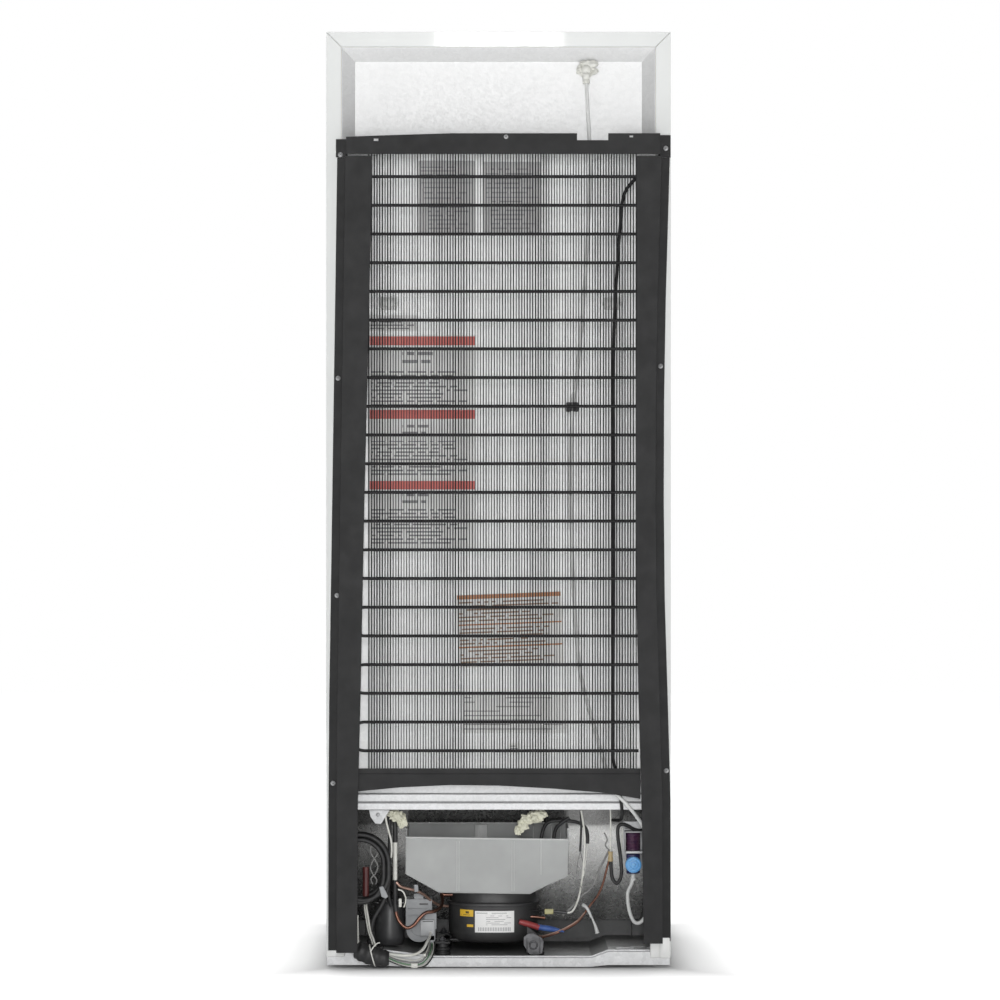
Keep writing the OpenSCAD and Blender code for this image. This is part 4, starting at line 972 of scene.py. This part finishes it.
wiring = {
    # name: finish, radius, points
    "hose_tray_left": ("blackRubber", 3.1, [(-72.6, 262, 175.1), (-73.6, 262, 210.4), (-77.6, 258, 233.2),
        (-84.8, 252, 246.8), (-101, 248, 251), (-126.3, 246, 250.4), (-143.3, 250, 246.7),
        (-153.3, 254, 237.9), (-156.4, 255, 224.9), (-156.4, 255, 211.8)]),
    "hose_tray_right": ("blackRubber", 3.1, [(-94.7, 262, 175.1), (-96.7, 262, 217.5), (-99.8, 256, 235.1),
        (-107, 252, 244.8), (-124.2, 248, 256.6)]),
    "hose_short": ("blackRubber", 2.0, [(-144.2, 258, 267.5), (-145.2, 258, 245.3), (-144.2, 258, 217.1),
        (-143.2, 258, 197.9)]),
    "cable_white": ("whiteWire", 1.7, [(-145.1, 262, 269.9), (-148.1, 262, 250.7), (-150.6, 262, 233.6),
        (-151.1, 262, 205.4), (-149.1, 262, 175.1), (-147.2, 260, 154.8), (-144.2, 256, 132.2),
        (-139.3, 252, 111.6), (-134.3, 250, 99.3), (-128.2, 249, 91.1), (-120.2, 248, 89.4)]),
    "cable_pale": ("whiteWire", 1.2, [(-156.4, 255, 213.8), (-154.3, 257, 194.8), (-151.2, 260, 169.9),
        (-149.1, 262, 155)]),
    "plug_lead": ("darkPlastic", 2.5, [(-121.2, 248, 89.4), (-107.1, 247, 90.9), (-96, 246, 91.8)]),
    "plug_wires": ("blackRubber", 1.5, [(-81.8, 246, 91.8), (-72.8, 242, 92.3), (-60.7, 234, 92.5),
        (-52.7, 226, 91.6)]),
    "loop_front": ("greyWire", 0.8, [(-143.6, 262, 198.3), (-139, 263, 180.3), (-137.5, 263, 160.1),
        (-140.1, 262, 144.9), (-147.1, 261, 132.7)]),
    "loop_back": ("greyWire", 0.8, [(-143.6, 261, 198.2), (-148.1, 261, 180.1), (-151.2, 261, 159.9),
        (-150.2, 261, 144.8), (-147.1, 261, 128.7)]),
    "line_grey": ("greyWire", 1.9, [(-194.8, 250, 201.2), (-187.7, 252, 186.3), (-179.6, 254, 171.3),
        (-172.5, 254, 154.2), (-167.5, 254, 141.1), (-159.4, 252, 129.8), (-149.4, 250, 122.5),
        (-137.3, 248, 109.2), (-126.2, 247, 96.9), (-113.2, 240, 84)]),
    "capillary": ("copperTube", 2.0, [(-197.9, 250, 195.2), (-193.8, 250, 180), (-189.7, 252, 165.1),
        (-185.7, 252, 148.9), (-180.7, 250, 133.6), (-172.7, 248, 117.2), (-161.6, 246, 102.9),
        (-149.5, 244, 85.5), (-137, 242, 71.1), (-116.3, 240, 58.8), (-96, 240, 50.7), (-74.9, 236, 44.1)]),
    "capillary_end": ("paleCopper", 1.2, [(-151.5, 247, 89.9), (-137.4, 246, 74.6), (-115.2, 246, 61.5),
        (-95, 245, 53.3), (-76.8, 243, 48), (-60.7, 238, 48.4)]),
    "hose_valve": ("blackRubber", 3.2, [(-254.1, 258, 234.7), (-244.9, 262, 235.6), (-236.7, 264, 237.8),
        (-227.6, 266, 243.5), (-218.5, 268, 246.7), (-211.4, 268, 244.2), (-208.9, 268, 236.1),
        (-209.9, 268, 218), (-213, 268, 196.9), (-215.4, 268, 167.7), (-213.8, 268, 151.6),
        (-206.9, 268, 143.5), (-200.3, 268, 150.6), (-197.9, 268, 163.6), (-196.3, 268, 191.8)]),
    "wire_down": ("whiteWire", 1.5, [(-196.3, 268, 272.4), (-196.7, 268, 246.2), (-196.3, 268, 221),
        (-196.3, 268, 195.9)]),
    "wire_valve": ("whiteWire", 1.3, [(-207.6, 262, 191.3), (-212.6, 262, 201.3), (-216.6, 262, 217.5),
        (-217.7, 262, 239.6)]),
    "earth_right": ("greyWire", 1.3, [(-185.7, 250, 230.5), (-190.7, 252, 218.6), (-187.7, 254, 208.7),
        (-193.7, 254, 200.6)]),
    "cable_left": ("whiteWire", 1.7, [(197.7, 290, 266.2), (196.1, 291, 254.2), (191.6, 292, 236.2),
        (187.6, 292, 220.2), (186.6, 292, 204.1), (187.6, 291, 190)]),
    "loom_drop": ("blackRubber", 3.4, [(191.1, 274, 258.8), (190.1, 274, 226.6), (191.1, 274, 192.4),
        (192.1, 273, 156.1), (192.2, 272, 123.8), (187.2, 270, 103.5)]),
    "twist_one": ("greyWire", 1.2, [(211.7, 290, 224), (220.7, 290, 214), (223.7, 291, 200),
        (216.7, 292, 188.1), (210.7, 291, 176), (214.7, 290, 162.8), (222.7, 291, 153.9),
        (219.7, 291, 143.9)]),
    "twist_two": ("greyWire", 1.2, [(216.7, 291, 226.1), (211.7, 291, 212.1), (210.7, 290, 197.9),
        (218.7, 290, 185.9), (223.7, 291, 173.9), (219.7, 292, 162), (212.7, 291, 151.9),
        (214.7, 291, 143.9)]),
    "pair_left": ("whiteWire", 1.8, [(231.1, 280, 118.6), (231, 284, 104), (227.8, 290, 85.6),
        (223.5, 298, 62.4), (218, 308, 50), (214, 318, 38)]),
    "pair_right": ("whiteWire", 1.3, [(235.1, 280, 114.6), (234, 284, 101), (230.8, 290, 81.5),
        (226.5, 298, 60.4), (221, 308, 48), (218, 318, 36)]),
    "strip_left": ("whiteWire", 2.3, [(246.5, 300, 90.7), (246, 304, 70), (245, 310, 50), (243, 316, 36)]),
    "discharge": ("paleCopper", 2.5, [(178.8, 284, 147.2), (170.7, 284, 139.1), (156.8, 278, 134.5),
        (144.9, 270, 130.6), (131.1, 258, 122.3), (119.2, 246, 111), (105.3, 232, 101.4),
        (89.2, 222, 98.3)]),
    "arc_white": ("whiteWire", 1.3, [(175.6, 288, 134.5), (167.6, 289, 131.6), (162.6, 289, 121.6),
        (162.6, 288, 111.4), (165.7, 286, 103.2)]),
    "thick_white": ("whiteWire", 2.5, [(192, 326, 27), (176, 330, 25), (158, 331, 24.5), (142, 326, 27),
        (131, 316, 34), (124.3, 298, 44.4), (120.7, 276, 49.8), (119, 259, 57.9)]),
    "strand_green": ("greenWire", 1.2, [(192, 328, 20), (172, 332, 12), (150, 334, 8.4), (134, 330, 10),
        (124, 318, 18), (118.3, 296, 28.1), (116.7, 270, 33), (117, 258, 37.6)]),
    "strand_white": ("whiteWire", 1.2, [(192, 330, 17), (172, 334, 9), (150, 336, 5.4), (132, 332, 7),
        (121, 320, 16), (115.2, 298, 26.3), (113.7, 272, 31.2), (113.9, 258, 37.6)]),
    "strand_grey": ("greyWire", 1.2, [(192, 326, 23), (172, 330, 15.5), (150, 331, 12), (136, 327, 13),
        (127, 316, 20), (121.3, 296, 30.1), (119.8, 270, 35), (120, 258, 37.6)]),
    "strand_pale": ("whiteWire", 1.1, [(192, 324, 24), (174, 327, 18.5), (152, 328, 15.6), (138, 324, 16.4),
        (129, 314, 23), (123.3, 294, 31.8), (121.8, 270, 37), (121.5, 258, 39.6)]),
    "strand_dark": ("blackRubber", 1.1, [(192, 332, 16), (170, 335, 7.6), (150, 337, 4), (130, 334, 5.4),
        (119, 322, 14), (112.8, 300, 24.6), (111.6, 274, 31.5), (112.9, 258, 39.6)]),
}
for name, (finish, radius, points) in wiring.items():
    Shape().line(points, radius, 12, 7).build(
        name, finish, "copper" if "opper" in finish else "cord_rubber")

# low and high corner and edge of the small blocks on the wires
connectorBlocks = [((-96.4, 242.5, 87), (-81, 250, 96), 1.2), ((-94, 249.6, 89.5), (-84, 251.4, 93.5), 0.6)]
tagBlocks = [((169.2, 287, 103.8), (174.4, 289.6, 118.6), 0.8), ((140, 329, 3.2), (152, 338.5, 11.5), 1.6),
             ((126, 322, 22), (131, 327, 27), 1.0)]
Shape().blocks(connectorBlocks).build("inline_connector", "yellowTag", "cord_rubber")

sleeves = {
    # name: finish, points, radius along the way
    "sleeve_red": ("redSleeve", [(-36.3, 251, 74.2), (-44.4, 250.4, 72.1), (-58.6, 248, 67.8),
        (-70.7, 246, 63.5)], lambda s: 4.2 + 1.3 * math.sin(math.pi * min(1, s * 1.6) / 2)),
    "sleeve_blue": ("blueSleeve", [(-68.7, 246, 64.5), (-76.8, 245, 62.8), (-88.9, 243, 61.1),
        (-105.1, 241, 57.9), (-115.3, 240, 55.7)], lambda s: 5.6 - 3.6 * s * s - 0.5 * math.sin(9 * s)),
    "valve_tape": ("tanTape", [(-196.3, 268, 181.8), (-196.3, 268, 189.8), (-196.3, 268, 198.9)],
        lambda s: 4.3 + 0.4 * math.sin(7 * s)),
    "capacitor_red": ("darkRed", [(231.7, 292, 123.9), (231.7, 292, 124.9), (231.7, 292, 148),
        (231.7, 292, 172), (231.7, 292, 174)], lambda s: 5.6 if 0.01 < s < 0.99 else 4.6),
}
for name, (finish, points, radius) in sleeves.items():
    Shape().line(points, radius, 20, 8).build(name, finish, "cord_rubber")

# a tie with its tag, hanging off the capillary
tie = {
    "strap": [(-148.5, 247, 103), (-154.4, 252, 99.5), (-159.4, 254, 90.6), (-163.4, 255, 81.7)],
    "tag": [(-163.4, 255, 83.7), (-166.4, 255.5, 75.7), (-170.5, 255.5, 65.6), (-173.5, 255, 54.4)],
    "strapRadius": lambda s: 3.4 - 1.4 * s, "tagRadius": lambda s: 1.6 + 2.4 * s * s,
}
Shape().line(tie["strap"], tie["strapRadius"]).line(tie["tag"], tie["tagRadius"]).build(
    "tie_right", "waterTube", "clear_plastic")

Shape().blocks(tagBlocks).build("wire_tags", "whiteWire", "white_plastic")

# outlines in X and Z, and the two depths between which each is drawn
greyTags = [([(208, 141), (201, 142), (192, 124), (197, 120.5), (204, 124)], 305.4, 307.4),
            ([(148, 141.5), (141, 141.5), (140, 129.5), (147, 128.5)], 272, 276)]
grey = Shape()
for outline, near, far in greyTags:
    grey.plate(outline, near, far)
grey.build("grey_tags", "greyPlastic", "grey_plastic", bevel=0.5)

# taped loom that hangs over the rear edge of the base pan
loom = {
    "route": [(246, 320, 33), (240, 322, 31), (228, 325, 27), (214, 327, 22.5), (200, 328, 19.5),
              (190, 328, 19)],
    "radius": 17.2, "lumps": 0.8, "ends": 0.28,  # uneven winding, and how much the ends narrow
    "tieAt": (219, 326.5, 24), "tieReach": (5, 18.2, 18.6), "tieRadius": 1.1,
    "tieTail": [(222, 343, 32), (217, 342, 40), (211, 339, 46), (206, 336, 47)],
}


def loomRadius(s):
    winding = loom["radius"] + loom["lumps"] * math.sin(31 * s)
    return winding * (1 - loom["ends"] + loom["ends"] * math.sin(math.pi * min(1, 0.12 + s * 0.9)))


def makeLoom():
    Shape().line(loom["route"], loomRadius, 28, 8).build("taped_loom", "blackRubber", "black_rubber")
    (x, y, z), (reachX, reachY, reachZ) = loom["tieAt"], loom["tieReach"]
    turns = (2 * math.pi * k / 30 for k in range(31))
    ring = [(x + reachX * math.sin(a), y + reachY * math.cos(a), z + reachZ * math.sin(a)) for a in turns]
    band = Shape().tube([p for p in ring if p[2] > 2], loom["tieRadius"], 8)
    band.line(loom["tieTail"], loom["tieRadius"], 8)
    band.build("loom_tie", "whiteWire", "white_plastic")


makeLoom()

earth = {
    "outline": [(226, 274), (223, 262), (215, 250.5), (205, 250), (198, 261), (190, 274)],
    "near": 297, "far": 298.2, "rivetAt": (210, 298, 266),
    "rivet": [(0, 0), (3.4, 0), (3.4, 1), (2.2, 1.8), (0, 2)],
}
Shape().plate(earth["outline"], earth["near"], earth["far"]).turned(
    earth["rivetAt"], alongY, earth["rivet"], 20).build("earth_tab", "dullZinc", "galvanised")

# middle and half size of each lump of set foam
foamLumps = [((177, 291, 263), (13, 8, 9)), ((169, 292, 254), (8, 6, 11)), ((183, 290, 268), (9, 7, 7)),
             ((-66, 283, 262), (14, 9, 10)), ((-52, 285, 257), (10, 7, 10)), ((-42, 286, 246), (8, 6, 11)),
             ((-35, 287, 238), (6, 5, 8)), ((-76, 282, 266), (9, 7, 6))]
foam = Shape()
for seed, (place, size) in enumerate(foamLumps):
    foam.lump(place, size, 0.55, seed + 5)
foam.build("foam_lumps", "setFoam", "foam", sharp=70)
print("compartment wired")


# printed sheets, all with generic marks

def labelFinish(name, box, paper, ink, areas, bands=(), tilt=0.0, word=6.5):
    # rows of short dashes in each area, and solid bands across
    paint = Paint(name)
    x, y, z = paint.axes()
    c, s = math.cos(math.radians(tilt)), math.sin(math.radians(tilt))
    across, up = x * c + z * s, z * c - x * s
    tone = paint.mix(paint.grain(30, 3), paper, tuple(v * 0.95 for v in paper))
    for x0, x1, z0, z1, pitch, share in areas:
        row = (up - z0) / pitch
        rowNumber = row.floor()
        line = row - rowNumber
        shift = paint.add("TexWhiteNoise", {"noise_dimensions": "1D"}, {"W": rowNumber})
        spot = paint.add("CombineXYZ", inputs={"X": (across / word + shift * 9).floor(), "Y": rowNumber})
        there = paint.add("TexWhiteNoise", {"noise_dimensions": "2D"}, {"Vector": spot}) > 0.2
        ragged = across > (x0 + 2 + shift * shift * (x1 - x0) * 0.35)
        mask = (line > 0.5 - share / 2) * (line < 0.5 + share / 2) * there * ragged
        mask = mask * (across < x1) * (up > z0) * (up < z1)
        tone = paint.mix(mask, tone, ink)
    for x0, x1, z0, z1, colour in bands:
        mask = (across > x0) * (across < x1) * (up > z0) * (up < z1)
        tone = paint.mix(mask, tone, colour)
    paint.finish(Base_Color=tone, Roughness=0.42 + (paint.grain(60, 2, seed=4) - 0.5) * 0.1,
                        Normal=paint.bump(paint.grain(45, 3, seed=6), 0.12, 0.5))


def tilted(x, z, tilt):
    c, s = math.cos(math.radians(tilt)), math.sin(math.radians(tilt))
    return x * c - z * s, x * s + z * c


faded, dusty = (0.78, 0.78, 0.77), (0.50, 0.50, 0.50)
greyInk, redInk = (0.26, 0.26, 0.27), (0.60, 0.10, 0.08)
labels = {
    "label_a": dict(box=(41.5, 139.7, 1282, 1408), paper=dusty, ink=greyInk, areas=[
        (50, 122, 1286, 1330, 7.4, 0.3), (54, 130, 1338, 1362, 9.2, 0.25), (50, 136, 1374, 1402, 6.4, 0.3)],
        bands=[(46, 135, 1332.2, 1333.6, greyInk), (46, 135, 1368.4, 1369.8, greyInk)]),
    "label_b": dict(box=(-75, 26.2, 1282, 1406), paper=dusty, ink=greyInk, areas=[
        (-66, 14, 1286, 1340, 7.8, 0.28), (-62, 22, 1348, 1400, 8.2, 0.28)],
        bands=[(-71, 22, 1343, 1344.6, greyInk)]),
    "label_lines": dict(box=(142.5, 226.5, 1110, 1138), paper=faded, ink=greyInk, areas=[
        (145, 224, 1112, 1136, 5.6, 0.4)]),
    "label_large": dict(box=(39, 227.2, 731, 1103.6), paper=(0.82, 0.82, 0.81), ink=greyInk, areas=[
        (52, 222, 737, 800, 6.4, 0.45), (120, 168, 806, 830, 12, 0.4), (52, 222, 857, 918, 6.4, 0.45),
        (120, 168, 926, 952, 12, 0.4), (52, 222, 978, 1040, 6.4, 0.45), (110, 168, 1050, 1080, 14, 0.4)],
        bands=[(41, 225, 1085.3, 1101, redInk), (41, 225, 956.7, 972.4, redInk),
               (41, 225, 833.4, 848.3, redInk)]),
    "label_tilted": dict(tilt=-2.17, box=(-134.5, 50, 524, 651.6), paper=(0.80, 0.79, 0.77),
                         ink=(0.34, 0.22, 0.15), areas=[(-130, 46, 530, 596, 6.4, 0.4),
                                                        (-130, 46, 602, 640, 6.4, 0.4)],
                         bands=[(-133, 48, 643, 650.4, (0.48, 0.20, 0.08)),
                                (-133, 48, 597, 599.4, (0.48, 0.20, 0.08)),
                                (-133, 48, 558, 560.4, (0.48, 0.20, 0.08))]),
    "label_ruled": dict(box=(-121.6, 65.6, 407.5, 477.5), paper=(0.84, 0.84, 0.83), ink=(0.34, 0.34, 0.34),
                        areas=[(-116, 60, 411, 474, 7.8, 0.22)], word=60),
    "label_small": dict(box=(-38, -18, 373, 390), paper=(0.86, 0.86, 0.84), ink=greyInk,
                        areas=[(-36, -20, 375, 388, 4, 0.4)]),
}


def makeLabels():
    for name, settings in labels.items():
        x0, x1, z0, z1 = settings["box"]
        tilt = settings.get("tilt", 0)
        ring = roundedRing(((x0 + x1) / 2, (z0 + z1) / 2), (x1 - x0) / 2, (z1 - z0) / 2, 2.2, 0)
        outline = [tilted(p[0], p[1], tilt) for p in ring]
        labelFinish(name, **settings)
        Shape().plate(outline, 287.5, 287.8).build(name, name, "galvanised")


makeLabels()

labelFinish("compressorLabel", None, (0.86, 0.86, 0.85), (0.12, 0.12, 0.13), [
    (-24, 22, 68, 88, 3.1, 0.22), (-24, 39, 88.5, 92, 3.0, 0.3)], [
    (-21 + 2.9 * k, -19.6 + 2.9 * k, 58.4, 65, (0.34, 0.34, 0.35)) for k in range(20)], word=7)
labelFinish("yellowSticker", None, (0.80, 0.50, 0.04), (0.10, 0.07, 0.02), [
    (46, 66, 84.6, 88, 3, 0.3)], [(52, 58, 88.6, 92.4, (0.12, 0.08, 0.02))], word=3)
wallPatch("compressor_label", "compressorLabel", -27.4, 41.4, 56, 93.6)
wallPatch("compressor_sticker", "yellowSticker", 44.4, 67.6, 83.4, 95.2)
wallPatch("compressor_small_label", "yellowSticker", 44.4, 55.6, 65, 69.6, steps=6)


# panel clips

clips = {
    "ends": ((177.5, 205.5), (-212.5, -184.5)),  # of the two panel clips, in X
    "plateZ": (1147.3, 1168.3), "pegZ": (1152, 1163), "tongueZ": (1154, 1161), "pegIn": 7.5, "pegHalf": 4.6,
    "bracket": [((-139, 287.4, 968.9), (-118.1, 300, 985.6), 2.0)],
    "ring": ([(-128.5, 321, 969.5), (-128.5, 321, 985)], 6.4),
    "arm": [((-133, 298, 971), (-124, 320, 983.5), 1.6)],
    # covers on the lower corners of the wrapper, behind the rear rollers
    "covers": [((-299.2, 300, 17), (-280, 314, 54.2), 2.6), ((-281, 300, 18), (-264, 312.5, 50), 2.0),
               ((267.5, 300, 19.2), (299.2, 312.5, 31.5), 2.4)],
}


def makeClips():
    pale = Shape()
    (z0, z1), (peg0, peg1), (tongue0, tongue1) = clips["plateZ"], clips["pegZ"], clips["tongueZ"]
    half = clips["pegHalf"]
    for x0, x1 in clips["ends"]:
        pale.block((x0, 287.4, z0), (x1, 292.4, z1), 1.8)
        for x in (x0 + clips["pegIn"], x1 - clips["pegIn"]):
            pale.block((x - half, 291, peg0), (x + half, 300, peg1), 2.2)
        pale.block((x0 - 4, 287.4, tongue0), (x1 + 4, 289.4, tongue1), 0.9)
    pale.build("panel_clips", "whitePlastic", "white_plastic")
    dark = Shape().blocks(clips["bracket"]).tube(*clips["ring"], 20).blocks(clips["arm"])
    dark.build("tube_clip", "darkPlastic", "black_rubber")
    Shape().blocks(clips["covers"]).build("corner_covers", "whitePlastic", "white_plastic")


makeClips()
print("labels and clips made")
